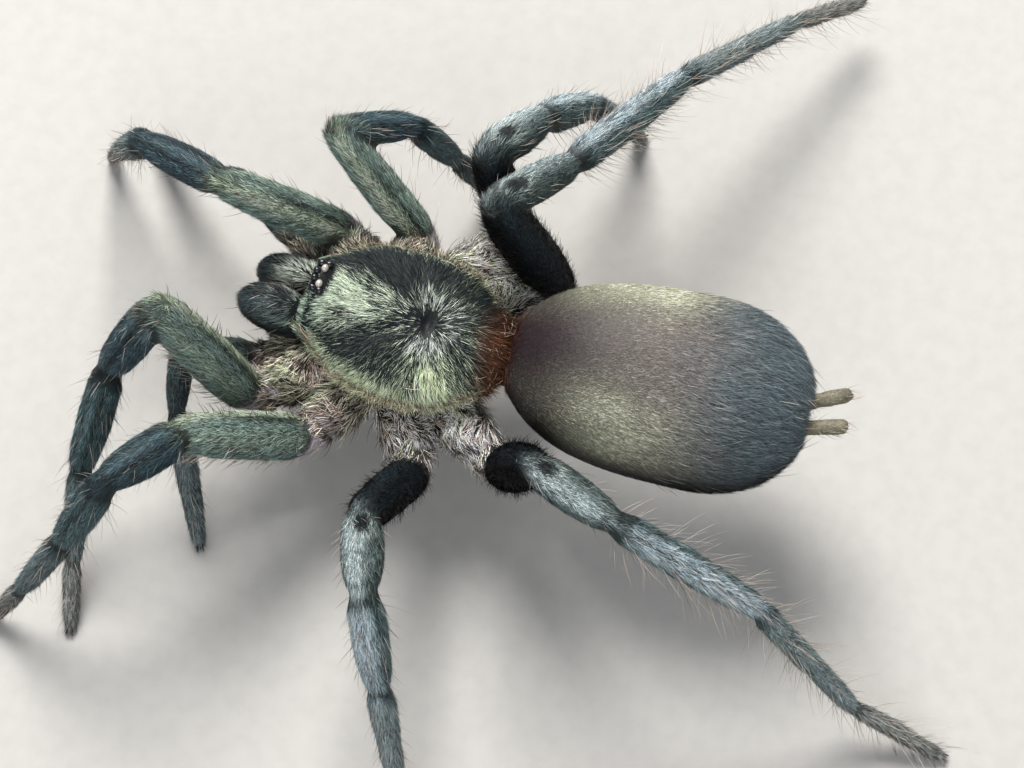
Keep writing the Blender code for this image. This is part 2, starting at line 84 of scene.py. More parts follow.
def unit(v: Array) -> Array:
    """Rows of v at length one."""
    return v / np.maximum(np.linalg.norm(v, axis=-1, keepdims=True), 1e-9)


def dot(a: Array, b: Array) -> Array:
    """Row by row dot product."""
    return np.sum(a * b, axis=-1)


def ramp(low: float, high: float, x: Array) -> Array:
    """Smooth step from 0 at low to 1 at high, or the other way round if low is above high."""
    share = np.clip((x - low) / (high - low), 0, 1)
    return share * share * (3 - 2 * share)


def bump(centre: float, reach: float, x: Array) -> Array:
    """A soft bell of height 1 at centre."""
    return np.exp(-(((x - centre) / reach) ** 2))


def mix(a: Array, b: Array, share: Array) -> Array:
    """Blend rows of a towards rows of b."""
    a, b = np.broadcast_to(np.asarray(a, float), (len(share), 3)), np.asarray(b, float)
    return a + (b - a) * share[:, None]


def painted(colour: Array, *layers: tuple[Array, Array]) -> Array:
    """A colour with other colours laid over it in turn, each by its share.

    Args:
        colour: The colour underneath.
        *layers: The other colours with their shares.

    Returns:
        The colour.
    """
    for over, share in layers:
        colour = mix(colour, over, share)
    return colour


def noise(p: Array, cell: float, seed: int = 0) -> Array:
    """Smooth value noise.

    Args:
        p: Points, one a row.
        cell: Size of the noise's cells in the points' unit.
        seed: Picks another field.

    Returns:
        One value from 0 to 1 a row.
    """
    q = p / cell
    base = np.floor(q).astype(np.int64)
    f = q - base
    f = f * f * (3 - 2 * f)
    total = np.zeros(len(p))
    for corner in itertools.product((0, 1), repeat=3):
        h = ((base + corner) @ HASH_STEPS + seed * HASH_FACTOR) & HASH_MASK
        h = ((h ^ (h >> 13)) * HASH_FACTOR) & HASH_MASK
        h = (h ^ (h >> 16)) & HASH_TOP
        share = np.where(corner, f, 1 - f)
        total += h / HASH_TOP * (share[:, 0] * share[:, 1]) * share[:, 2]
    return total


def rounded(x: Array, power: float = 2) -> Array:
    """Falls from 1 at 0 to 0 at 1 in a round curve."""
    return np.sqrt(np.maximum(1 - np.maximum(x, 0) ** power, 0))


def turn_share(x: Array, z: Array) -> Array:
    """The turn of points about their line, as a share of a whole turn."""
    return np.arctan2(x, z) / (2 * math.pi) + 0.5


def mottled(colour: Array, p: Array, cell: float, seed: int, low: float, spread: float) -> Array:
    """A colour made uneven by noise."""
    return colour * (low + spread * noise(p, cell, seed))[:, None]


def to_world(p: Array) -> Array:
    """Points of the body frame in the frame of the solids."""
    return p @ BODY_TURN.T + BODY_LIFT


def to_body(p: Array) -> Array:
    """Points of the frame of the solids in the body frame."""
    return (p - BODY_LIFT) @ BODY_TURN


def turned(v: Array) -> Array:
    """Directions of the body frame in the frame of the solids."""
    return v @ BODY_TURN.T


def on_surface(direction: Array, normal: Array) -> Array:
    """The part of each direction that lies in the surface, at length one."""
    return unit(direction - dot(direction, normal)[:, None] * normal)


def swirl(direction: Array, normal: Array, angle: Array) -> Array:
    """Turns each direction about its normal."""
    side = np.cross(normal, direction)
    return direction * np.cos(angle)[:, None] + side * np.sin(angle)[:, None]


def combed(way: tuple[float, float, float], normal: Array) -> Array:
    """One direction of the body frame, laid into the surface at every normal."""
    return on_surface(turned(np.tile(np.array([way]), (len(normal), 1))), normal)


def curled(lie: Array, normal: Array, p: Array, cell: float, seed: int, amount: float) -> Array:
    """Turns the lie of the hair to and fro from place to place."""
    return swirl(lie, normal, (noise(p, cell, seed) - 0.5) * amount)


# Meshes


def rings_mesh(rings: list[Array]) -> tuple[list[Array], list[tuple[int, ...]]]:
    """Joins rings of points into one closed surface.

    Args:
        rings: Arrays of equally many points. The first and last ring may be one point.

    Returns:
        The points and the faces.
    """
    points = np.vstack(rings)
    starts = np.cumsum([0] + [len(r) for r in rings])
    faces = []
    for k in range(len(rings) - 1):
        low, high = len(rings[k]), len(rings[k + 1])
        count = max(low, high)
        for i in range(count):
            j = (i + 1) % count
            a, b = starts[k] + i % low, starts[k] + j % low
            c, d = starts[k + 1] + j % high, starts[k + 1] + i % high
            faces.append(tuple(dict.fromkeys((int(a), int(b), int(c), int(d)))))
    for k in (0, len(rings) - 1):
        if len(rings[k]) > 2:
            loop = tuple(range(int(starts[k]), int(starts[k]) + len(rings[k])))
            faces.append(loop if k else loop[::-1])
    return points, faces


def merged(shapes: list[tuple[Array, list]]) -> tuple[Array, list]:
    """Points and faces of several closed shapes as one.

    Args:
        shapes: Points and faces of each.

    Returns:
        All the points and faces.
    """
    points, faces, start = [], [], 0
    for p, f in shapes:
        points.append(p)
        faces += [tuple(i + start for i in face) for face in f]
        start += len(p)
    return np.vstack(points), faces


def globe(stacks: int, sides: int) -> list[Array]:
    """Rings of a globe of radius one, from its upper pole to its lower.

    Args:
        stacks: Rings from pole to pole.
        sides: Points a ring.

    Returns:
        The rings.
    """
    t = np.arange(sides) * math.pi / (sides // 2)
    rings = []
    for lean in np.linspace(0, math.pi, stacks):
        level = np.full(sides, math.cos(lean))
        ring = np.stack([math.sin(lean) * np.cos(t), math.sin(lean) * np.sin(t), level], 1)
        rings.append(ring[:1] if lean in (0, math.pi) else ring)
    return rings


def repeated(pattern: list[tuple[int, ...]], corners: int, count: int) -> Array:
    """Triangles of many alike strips, each with its own run of points."""
    return (np.arange(count)[:, None, None] * corners + np.array(pattern)[None]).reshape(-1, 3)


def linked(name: str, data: bpy.types.ID) -> bpy.types.Object:
    """A new object of this data, in the scene.

    Args:
        name: Its name.
        data: Its mesh, light or camera.

    Returns:
        The object.
    """
    obj = bpy.data.objects.new(name, data)
    bpy.context.scene.collection.objects.link(obj)
    return obj


def make_object(name: str, points: Array, faces: list, scale: float = MM) -> bpy.types.Object:
    """A new smooth mesh object.

    Args:
        name: Its name.
        points: Points, in millimetres.
        faces: Corner lists.
        scale: From the points' unit to metres.

    Returns:
        The object, linked to the scene.
    """
    mesh = bpy.data.meshes.new(name)
    mesh.from_pydata((np.asarray(points) * scale).tolist(), [], faces)
    mesh.validate()
    mesh.shade_smooth()
    return linked(name, mesh)


def tube(points: Array, radii: Array, sides: int) -> list[Array]:
    """Rings of a round tube with domed ends along a line of points.

    Args:
        points: The middle line.
        radii: One radius a point.
        sides: Points a ring.

    Returns:
        The rings, from the first end's pole to the last end's.
    """
    ahead = unit(np.gradient(points, axis=0))
    rings = []
    turns = np.arange(sides) * 2 * math.pi / sides
    circle = np.stack([np.cos(turns), np.sin(turns)], axis=1)
    level = unit(np.cross(ahead[0], UP if abs(ahead[0][2]) < 0.99 else np.array([1.0, 0, 0])))
    for k, (centre, axis) in enumerate(zip(points, ahead)):
        level = unit(level - np.dot(level, axis) * axis)
        rise = np.cross(level, axis)
        rings.append(centre + radii[k] * (circle[:, :1] * level + circle[:, 1:] * rise))
    for end, sign in ((0, -1), (-1, 1)):
        middle, out = points[end], sign * ahead[end] * radii[end]
        flat = rings[end] - middle
        cap = [middle + out * math.sin(a) + flat * math.cos(a) for a in np.radians(DOME_ANGLES)]
        cap.append((middle + out)[None])
        rings = cap[::-1] + rings if end == 0 else rings + cap
    return rings


# What grows where


@dataclass
class Coat:
    """The coat at some points of the skin, one row a point.

    A share of the hairs, glow, has the bright colour and the rest has the deep one.
    """

    colour: Array
    deep: Array
    skin: Array
    lie: Array
    glow: Array
    length: Array
    width: Array
    lift: Array
    density: Array
    clump: Array

    @classmethod
    def of(cls, count: int, **values: object) -> "Coat":
        """A coat from rows or single values.

        Args:
            count: How many points.
            **values: Every field, by name; clump may be left out.

        Returns:
            The coat.
        """
        wide = ("colour", "deep", "skin", "lie")
        shaped = {}
        values.setdefault("clump", 0.0)
        for name, value in values.items():
            shape = (count, 3) if name in wide else (count,)
            shaped[name] = np.broadcast_to(np.asarray(value, float), shape).copy()
        return cls(**shaped)

    @classmethod
    def empty(cls, count: int) -> "Coat":
        """A coat of zeros."""
        return cls.of(count, **{name: 0.0 for name in cls.__dataclass_fields__})

    def add(self, rows: Array, other: "Coat", share: Array) -> None:
        """Adds shares of another coat's rows at the given places."""
        for name, value in vars(other).items():
            getattr(self, name)[rows] += value * (share[:, None] if value.ndim == 2 else share)


class Form:
    """A closed shape of flesh with its own place on the unwrap and its own coat."""

    name: str
    piece: str

    def rings(self) -> list[Array]:
        """Rings of its surface, inside the solid by the coat's depth."""
        raise NotImplementedError

    def distance(self, p: Array) -> Array:
        """Roughly how far points are outside it."""
        raise NotImplementedError

    def unwrap(self, p: Array) -> Array:
        """Where points are on this form's own unwrap, each way from 0 to 1."""
        raise NotImplementedError

    def coat(self, p: Array, n: Array) -> Coat:
        """Its coat at points with those normals."""
        raise NotImplementedError


class Pair(Enum):
    """Which limb of a side."""

    PALP = "palp"
    LEG_1 = "leg_1"
    LEG_2 = "leg_2"
    LEG_3 = "leg_3"
    LEG_4 = "leg_4"


LENGTHS = {
    Pair.LEG_1: (7.4, 4.2, 5.1, 4.3, 2.9),
    Pair.LEG_2: (7.0, 3.9, 4.7, 4.3, 2.9),
    Pair.LEG_3: (6.0, 3.7, 4.5, 4.8, 3.0),
    Pair.LEG_4: (7.0, 4.5, 7.6, 8.2, 4.5),
    Pair.PALP: (3.8, 2.8, 6.6),
}
LEG_RADII = (0.92, 1.07, 0.84, 0.94, 0.72, 0.79, 0.62, 0.57, 0.46, 0.42, 0.36)
PALP_RADII = (0.6, 0.66, 0.56, 0.6, 0.5, 0.52, 0.34)
FEMUR_GIRTH = {Pair.LEG_3: 0.9, Pair.LEG_4: 1.09}
COXA_ROOT_RADIUS = 1.25
PALP_ROOT_RADIUS = 0.85
ROOTS = {
    Pair.PALP: (1.8, -4.0, -2.5),
    Pair.LEG_1: (2.3, -3.0, -1.9),
    Pair.LEG_2: (2.9, -1.2, -1.9),
    Pair.LEG_3: (2.9, 0.8, -1.9),
    Pair.LEG_4: (2.3, 2.6, -1.9),
}
NIGHT = (0.008, 0.011, 0.012)
LEG_SEGMENTS = ("femur", "patella", "tibia", "metatarsus", "tarsus")
PALP_SEGMENTS = ("femur", "patella", "foot")


@dataclass
class SegmentLook:
    """Colours and hair of one kind of limb segment; its highlight colour is laid on as a painted highlight.

    The turn round the segment is 0 on top and grows towards the head's side.
    """

    flank: Colour
    upper: Colour
    stripe: Colour = NIGHT
    stripe_at: tuple[float, ...] = ()
    stripe_reach: float = 0.22
    stripe_end: float = 0.7
    base: Colour = (0.008, 0.01, 0.011)
    base_reach: float = 0.08
    end: Colour = (0.3, 0.27, 0.2)
    end_reach: float = 0.0
    length: float = 0.62
    width: float = 0.028
    lift: float = 8.0
    density: float = 520.0
    slant: float = 0.0
    glow: float = 0.5
    depth: float = 0.42
    knee_mark: bool = False
    highlight_at: float = 0.45
    highlight_reach: float = 0.55
    rear_highlight: float = 0.5
    clump: float = 0.15
    membrane: float = 0.0


# GREEN_SHEEN is a painted sheen highlight for the ridge of the front femora.
TEAL = (0.26, 0.365, 0.33)
GREEN_SHEEN = (0.84, 1.0, 0.68)
LOOKS = {
    "front_femur": SegmentLook(TEAL, GREEN_SHEEN, stripe_at=(0.2,), stripe_reach=0.17, stripe_end=0.72,
                               end_reach=0.02, slant=0.18, depth=0.2, highlight_at=0.68, highlight_reach=0.4,
                               rear_highlight=0.32, membrane=0.055),
    "front_patella": SegmentLook((0.048, 0.085, 0.104), (0.11, 0.18, 0.2), stripe_at=(-0.5, 0.5),
                                 stripe_reach=0.16, stripe_end=1.2, length=0.5),
    "front_tibia": SegmentLook((0.068, 0.115, 0.122), (0.14, 0.22, 0.235), stripe_at=(-0.45, 0.45),
                               stripe_reach=0.14, stripe_end=1.2, base_reach=0.1, length=0.6),
    "front_metatarsus": SegmentLook((0.11, 0.14, 0.145), (0.2, 0.26, 0.27), base_reach=0.07, length=0.6),
    "front_tarsus": SegmentLook((0.17, 0.165, 0.15), (0.24, 0.26, 0.25), base_reach=0.04, length=0.5,
                                lift=15),
    "rear_femur": SegmentLook((0.003, 0.0035, 0.004), (0.05, 0.078, 0.095), end=(0.34, 0.38, 0.36),
                              end_reach=0.025, base=(0.002, 0.0025, 0.003), length=0.4, width=0.03, lift=16,
                              density=330, glow=0.25),
    "rear_patella": SegmentLook((0.075, 0.108, 0.1), (0.56, 0.68, 0.69), base_reach=0.0, length=0.5,
                                knee_mark=True, depth=0.3, highlight_at=0.62, highlight_reach=0.68, rear_highlight=0.0),
    "rear_tibia": SegmentLook((0.12, 0.18, 0.18), (0.84, 1.04, 1.14), stripe_at=(-0.5, 0.5),
                              stripe_reach=0.13, stripe_end=1.2, base_reach=0.05, length=0.65, depth=0.3,
                              highlight_at=0.58, highlight_reach=0.75, rear_highlight=0.0),
    "rear_metatarsus": SegmentLook((0.17, 0.22, 0.22), (0.36, 0.43, 0.43), base_reach=0.05, length=0.65),
    "rear_tarsus": SegmentLook((0.22, 0.22, 0.2), (0.3, 0.31, 0.29), base_reach=0.03, length=0.55, lift=15),
    "palp_femur": SegmentLook((0.06, 0.1, 0.1), (0.15, 0.2, 0.18), stripe_at=(0.1,)),
    "palp_patella": SegmentLook((0.045, 0.07, 0.08), (0.12, 0.17, 0.18), length=0.45),
    "palp_foot": SegmentLook((0.1, 0.13, 0.135), (0.2, 0.24, 0.24), length=0.55, lift=14),
    "coxa": SegmentLook((0.62, 0.52, 0.41), (0.64, 0.62, 0.45), base_reach=0.0, length=0.62, width=0.03,
                        lift=22, density=235, glow=0.42, clump=0.95),
}


@dataclass
class LimbSegment(Form):
    """One segment of a leg or palp."""

    name: str
    piece: str
    look: SegmentLook
    side_sign: int
    start: Array
    end: Array
    radii: tuple[float, float, float]
    depth: float = 0.05
    kind: str = "segment"
    axis: Array = field(init=False)
    reach: float = field(init=False)
    level: Array = field(init=False)
    rise: Array = field(init=False)

    def __post_init__(self) -> None:
        """Works out the segment's own directions."""
        self.reach = float(np.linalg.norm(self.end - self.start))
        self.axis = (self.end - self.start) / self.reach
        self.level = unit(np.cross(self.axis, UP))
        self.rise = np.cross(self.level, self.axis)

    def radius(self, share: Array) -> Array:
        """Radius of the skin at shares of the length, pinched in at the joints.

        Args:
            share: Places along it, from 0 to 1.

        Returns:
            Radii, in millimetres.
        """
        a, b, c = (r - self.depth for r in self.radii)
        s = np.clip(share, 0, 1)
        r = a * (1 - s) * (1 - 2 * s) + b * 4 * s * (1 - s) + c * s * (2 * s - 1)
        if self.kind == "coxa":
            pinch = 1 - 0.2 * bump(0.7, 0.06, s) - 0.22 * bump(1.0, 0.07, s)
            return r * (pinch + 0.04 * bump(0.86, 0.07, s))
        return r * (1 - 0.23 * np.exp(-s * self.reach / 0.38) - 0.23 * np.exp(-(1 - s) * self.reach / 0.33))

    def rings(self) -> list[Array]:
        """Rings of the segment with round ends."""
        shares = np.linspace(0, 1, max(int(self.reach / 0.25), 6))
        return tube(self.start + shares[:, None] * (self.end - self.start), self.radius(shares), 24)

    def along(self, p: Array) -> Array:
        """Share of the length at points."""
        return (p - self.start) @ self.axis / self.reach

    def around(self, p: Array) -> Array:
        """Turn of points from the top towards the head's side, in radians."""
        v = p - self.start
        return np.arctan2(v @ self.level * self.side_sign, v @ self.rise)

    def distance(self, p: Array) -> Array:
        """Distance from the segment's surface.

        Args:
            p: Points.

        Returns:
            Distances, below 0 inside.
        """
        s = np.clip(self.along(p), 0, 1)
        gap = np.linalg.norm(p - self.start - s[:, None] * self.axis * self.reach, axis=1)
        return gap - self.radius(s)

    def unwrap(self, p: Array) -> Array:
        """Along and around the segment."""
        return np.stack([np.clip(self.along(p), 0, 1), self.around(p) / (2 * math.pi) + 0.5], axis=1)

    def coat(self, p: Array, n: Array) -> Coat:
        """Bands, stripes and rings of the segment, with a painted highlight on its ridge and rear side and
        painted shade underneath.

        Args:
            p: Points.
            n: Their normals.

        Returns:
            The coat.
        """
        look, count = self.look, len(p)
        s, turn = np.clip(self.along(p), 0, 1), self.around(p)
        grain = noise(p, 0.35, 3)
        broad = noise(p, 1.3, 5)
        # Painted highlight: a band of the highlight colour along one ridge, where the sheen of the hairs
        # catches the light.
        ridge_highlight = bump(look.highlight_at, look.highlight_reach, turn) * (0.55 + 0.6 * broad)
        dark = np.zeros(count)
        for place in look.stripe_at:
            dark = np.maximum(dark, bump(place, look.stripe_reach, turn))
        dark = dark * ramp(look.stripe_end + 0.15, look.stripe_end - 0.25, s) * 0.92
        if look.base_reach:
            dark = np.maximum(dark, ramp(look.base_reach * 1.7, look.base_reach * 0.4, s))
        colour = painted(look.flank, (look.upper, ridge_highlight),
                         # painted highlight on the rear side, weaker
                         (np.array(look.upper) * 0.8, bump(-0.75, 0.4, turn) * look.rear_highlight),
                         # painted shade: the underside darkened
                         (np.array(look.flank) * 0.45, ramp(1.7, 2.6, np.abs(turn))),
                         (look.stripe, dark))
        if look.end_reach:
            tip = ramp(1 - look.end_reach * 1.6, 1 - look.end_reach * 0.6, s)
            colour = mix(colour, look.end, tip * 0.7 * (0.15 + 0.85 * ramp(1.0, 1.9, np.abs(turn))))
        ring = ramp(look.membrane + 0.03, look.membrane, s) if look.membrane else np.zeros(count)
        colour = mix(colour, (0.5, 0.45, 0.5), ring)
        lie = on_surface((self.axis - look.slant * self.rise)[None], n)
        made = Coat.of(count, colour=colour * 1.35, deep=colour * look.depth, skin=colour * 0.2, lie=lie,
                       glow=look.glow, length=look.length * (0.75 + 0.5 * broad) * (0.7 + 0.6 * grain),
                       width=look.width, lift=look.lift,
                       density=look.density * (1 - 0.2 * dark) * (1 - 0.75 * ring), clump=look.clump)
        made.skin = mix(made.skin, (0.5, 0.44, 0.5), ring)
        if self.kind == "coxa":
            self._hip_fuzz(made, p, n, s, turn)
        if look.knee_mark:
            self._knee_mark(made, s, turn)
        return made

    @staticmethod
    def _knee_mark(coat: Coat, s: Array, turn: Array) -> None:
        """Marks the dark oval, outlined pale, on top of a hind knee's base.

        Args:
            coat: The knee's coat.
            s: Share of the length.
            turn: Turn from the top.
        """
        far = np.hypot((s - 0.17) / 0.12, turn / 0.42)
        coat.colour = mix(coat.colour, (0.5, 0.58, 0.54), bump(1.35, 0.35, far) * 0.8)
        for layer in ("colour", "deep", "skin"):
            setattr(coat, layer, mix(getattr(coat, layer), NIGHT, ramp(1.15, 0.8, far)))

    @staticmethod
    def _hip_fuzz(coat: Coat, p: Array, n: Array, s: Array, turn: Array) -> None:
        """Gives a hip its curling gold, grey and pink tufts and the bare pale membranes at its rings.

        Args:
            coat: The hip's coat.
            p: Points.
            n: Their normals.
            s: Share of the length.
            turn: Turn from the top.
        """
        patch = noise(p, 0.8, 11)
        coat.colour = painted(coat.colour,
                              ((0.6, 0.7, 0.42), ramp(0.48, 0.62, patch) * bump(0.0, 1.4, turn) * 0.85),
                              ((0.8, 0.6, 0.52), ramp(0.45, 0.3, patch) * 0.8))
        coat.deep = mix((0.016, 0.016, 0.015), (0.09, 0.078, 0.068), ramp(0.3, 0.6, noise(p, 0.6, 19)))
        coat.skin = coat.deep * 0.5
        coat.colour = coat.colour * (1.1 + 1.7 * ramp(-1.0, 1.5, to_body(p)[:, 1]))[:, None]
        bald = ramp(0.62, 0.8, noise(p, 0.5, 17))
        ring = np.maximum(bump(0.98, 0.09, s), bump(0.7, 0.05, s) * 0.9)
        ring = ring * ramp(0.2, 0.45, noise(p, 0.45, 27))
        coat.skin = mix(coat.skin, (0.6, 0.55, 0.62), ring)
        coat.lie = curled(coat.lie, n, p, 0.8, 23, 3.6)
        coat.lift = coat.lift + 10 * patch
        coat.glow = coat.glow * (1 - 0.6 * bald)
        coat.density = coat.density * (1 - 0.9 * ring)


@dataclass(frozen=True)
class LimbPose:
    """Where a limb's hip ends and how its segments turn and slope, as in the solids."""

    pair: Pair
    side: str
    hip: tuple[float, float, float]
    turns: tuple[float, ...]
    slopes: tuple[float, ...]
    girth: float = 1.0
    raised: float = 0.0

    @property
    def sign(self) -> int:
        """1 on the spider's left and -1 on its right."""
        return SIDES[self.side]

    @property
    def name(self) -> str:
        """The limb's name."""
        return f"{self.pair.value}_{self.side}"

    def heading(self, turn: float, slope: float) -> Array:
        """Direction of a segment: 0 turn is straight ahead, 90 is out to its own side."""
        t, s = math.radians(turn), math.radians(slope)
        return np.array([self.sign * math.sin(t) * math.cos(s), -math.cos(t) * math.cos(s), math.sin(s)])

    def joints(self) -> Array:
        """Points from the hip's root to the toe, which is let down to its height.

        Returns:
            Points, one a row.
        """
        points = [to_world(np.array([[self.sign * x, y, z]]))[0] for x, y, z in (ROOTS[self.pair], self.hip)]
        lengths = LENGTHS[self.pair]
        for length, turn, slope in zip(lengths, self.turns, self.slopes):
            points.append(points[-1] + self.heading(turn, slope) * length)
        drop = min((points[-1][2] - TOE_HEIGHT - self.raised) / lengths[-1], 1)
        last = -math.degrees(math.asin(drop))
        points.append(points[-1] + self.heading(self.turns[-1], last) * lengths[-1])
        return np.array(points)

    def nodes(self) -> list[str]:
        """Names of the solids that it stands for."""
        parts = PALP_SEGMENTS if self.pair is Pair.PALP else (*LEG_SEGMENTS[:3], "foot")
        return [f"{self.name}_{part}" for part in ("coxa", *parts)]

    def segments(self) -> list[LimbSegment]:
        """Its segments as forms of flesh.

        Returns:
            The segments, hip first.
        """
        points = self.joints()
        palp = self.pair is Pair.PALP
        radii = [radius * self.girth for radius in (PALP_RADII if palp else LEG_RADII)]
        radii[1] *= FEMUR_GIRTH.get(self.pair, 1.0)
        radii[-1] = radii[-1] / self.girth
        names = PALP_SEGMENTS if palp else LEG_SEGMENTS
        group = "palp" if palp else "front" if self.pair in (Pair.LEG_1, Pair.LEG_2) else "rear"
        root_radius = PALP_ROOT_RADIUS if palp else COXA_ROOT_RADIUS
        made = [LimbSegment(f"{self.name}_coxa", "coat_hips", LOOKS["coxa"], self.sign, points[0], points[1],
                            (root_radius, root_radius, radii[0]), 0.2, "coxa")]
        for k, name in enumerate(names):
            made.append(LimbSegment(f"{self.name}_{name}", f"coat_{self.name}", LOOKS[f"{group}_{name}"],
                                    self.sign, points[k + 1], points[k + 2], tuple(radii[2 * k: 2 * k + 3])))
        return made


POSES = (
    LimbPose(Pair.PALP, "left", (2.7, -6.0, -2.7), (36, 100, 120), (36, -46)),
    LimbPose(Pair.LEG_1, "left", (4.8, -5.3, -2.2), (2, 45, 83, 100, 107), (60, -53, -50, -43)),
    LimbPose(Pair.LEG_2, "left", (5.6, -2.4, -2.3), (41, 58, 45, 38, 36), (41, 9, -60, -58)),
    LimbPose(Pair.LEG_3, "left", (5.5, 2.5, -2.3), (82, 112, 121, 124, 121), (44, 12, -50, -58)),
    LimbPose(Pair.LEG_4, "left", (4.2, 6.0, -2.0), (137, 157, 180, 177, 178), (65, 16, -32, -55), 0.92),
    LimbPose(Pair.PALP, "right", (2.7, -6.0, -2.7), (31, 6, 37), (6, -33)),
    LimbPose(Pair.LEG_1, "right", (3.7, -3.8, -2.2), (-22, 12, 40, 43, 45), (45, -6, -60, -62), 0.88),
    LimbPose(Pair.LEG_2, "right", (4.4, -0.6, -2.2), (17, 138, 140, 135, 130), (47, -28, -66, -70), 0.82),
    LimbPose(Pair.LEG_3, "right", (5.6, 3.3, -2.2), (30, 112, 112, 120, 114), (69, -22, -44, -62)),
    LimbPose(Pair.LEG_4, "right", (4.4, 5.6, -2.2), (-3, 120, 112, 117, 123), (65, -19, -17, -26), 0.95, 2.6),
)


# Body

JAW = ((2.05, 3.7, 3.7), 0.11, math.radians(18))
CREAM = (0.6, 0.5, 0.34)
PINKISH = (0.58, 0.37, 0.27)
RUST = (0.13, 0.034, 0.008)


def ball_distance(q: Array, half: Array) -> Array:
    """Rough distance of points from an ellipsoid about the origin."""
    near = np.linalg.norm(q / half, axis=1)
    return near * (near - 1) / np.maximum(np.linalg.norm(q / half**2, axis=1), 1e-6)


@dataclass
class Ball(Form):
    """A rounded body form: an ellipsoid in the body frame."""

    name: str
    piece: str
    centre: tuple[float, float, float]
    size: tuple[float, float, float]
    depth: float
    nod: float = 0.0

    def turn(self) -> Array:
        """The nod about the body's left-to-right line."""
        return np.array(Matrix.Rotation(self.nod, 3, "X"))

    def local(self, p: Array) -> Array:
        """Points in the ellipsoid's own directions."""
        return (to_body(p) - np.array(self.centre)) @ self.turn()

    def rings(self) -> list[Array]:
        """Rings from the front pole to the rear pole.

        Returns:
            The rings.
        """
        half = np.array(self.size) / 2 - self.depth
        rings = [np.stack([ring[:, 0], -ring[:, 2], ring[:, 1]], 1) for ring in globe(25, 36)]
        return [to_world((ring * half) @ self.turn().T + np.array(self.centre)) for ring in rings]

    def distance(self, p: Array) -> Array:
        """Rough distance from the ellipsoid."""
        return ball_distance(self.local(p), np.array(self.size) / 2 - self.depth)

    def unwrap(self, p: Array) -> Array:
        """Round and along the ellipsoid's fore and aft line.

        Args:
            p: Points.

        Returns:
            Two shares a point.
        """
        q = self.local(p) / (np.array(self.size) / 2)
        ahead = np.clip(-q[:, 1] / np.maximum(np.linalg.norm(q, axis=1), 1e-6), -1, 1)
        return np.stack([turn_share(q[:, 0], q[:, 2]), np.arccos(ahead) / math.pi], 1)


class EyeMound(Ball):
    """The low mound that carries the eyes."""

    def coat(self, p: Array, n: Array) -> Coat:
        """Sparse dark down that leaves the lenses free.

        Args:
            p: Points.
            n: Their normals.

        Returns:
            The coat.
        """
        colour = mottled(np.array([0.3, 0.38, 0.28]), p, 0.2, 29, 0.6, 0.8)
        return Coat.of(len(p), colour=colour, deep=(0.008, 0.011, 0.01), skin=(0.003, 0.004, 0.004),
                       lie=combed((0.0, -1.0, 0.1), n), glow=0.34, length=0.16, width=0.02, lift=8,
                       density=330)


class Underside(Ball):
    """Breastplate and flanks between the hips."""

    def coat(self, p: Array, n: Array) -> Coat:
        """Grey-pink fuzz, rusty at the rear and under the shield's edge.

        Args:
            p: Points.
            n: Their normals.

        Returns:
            The coat.
        """
        b, count = to_body(p), len(p)
        patch = noise(p, 0.7, 31)
        colour = painted((0.24, 0.18, 0.14), ((0.34, 0.32, 0.21), ramp(0.4, 0.7, patch)),
                         (RUST, ramp(1.6, 3.2, b[:, 1]) * 0.9),
                         ((0.06, 0.05, 0.045), ramp(-2.6, -3.2, b[:, 2]) * 0.7))
        lie = on_surface(turned(np.stack([b[:, 0] * 0.5, np.full(count, 0.8), -0.6 + 0 * patch], 1)), n)
        return Coat.of(count, colour=mottled(colour, p, 0.3, 41, 0.7, 0.6), deep=colour * 0.2,
                       skin=colour * 0.12, lie=curled(lie, n, p, 0.9, 37, 1.8), glow=0.45,
                       length=0.6 + 0.35 * patch, width=0.03, lift=22, density=190, clump=0.8)


class Chelicera(Ball):
    """One stout jaw."""

    def coat(self, p: Array, n: Array) -> Coat:
        """Blue-grey streaks over black, combed forward and down.

        Args:
            p: Points.
            n: Their normals.

        Returns:
            The coat.
        """
        q = self.local(p)
        side = 1 if self.centre[0] > 0 else -1
        height = q[:, 2] / (self.size[2] / 2)
        streak = noise(np.stack([q[:, 0] * 4.5, q[:, 1] * 0.8, q[:, 2] * 2.2], 1), 1.0, 43)
        back = ramp(-0.6, 0.9, q[:, 1])
        inner = ramp(0.3, -0.9, q[:, 0] * side)
        # Painted highlight: the right jaw gets a pale ridge and brighter hairs; the left jaw's ridge stays
        # dark.
        ridge_highlight, lit = ((0.7, 0.78, 0.64), 0.45) if side < 0 else ((0.17, 0.2, 0.18), 0.05)
        colour = painted((0.03, 0.042, 0.046),
                         ((0.12, 0.175, 0.2), ramp(0.0, 0.8, height) * (0.35 + 0.65 * back)),
                         (ridge_highlight, back * ramp(0.1, 0.7, height) * 0.8),
                         ((0.25, 0.2, 0.16), inner * back * 0.5))
        glow = (0.08 + 0.6 * ramp(0.35, 0.75, streak) + lit * back) * ramp(-0.5, 0.5, height)
        lie = curled(combed((0.12 * side, -0.8, -0.55), n), n, p, 0.8, 47, 0.7)
        return Coat.of(len(p), colour=mottled(colour, p, 0.3, 41, 0.7, 0.6), deep=(0.012, 0.015, 0.017),
                       skin=(0.007, 0.009, 0.011), lie=lie, glow=glow, length=0.48 + 0.2 * noise(p, 0.5, 53),
                       width=0.026, lift=9, density=380, clump=0.25)


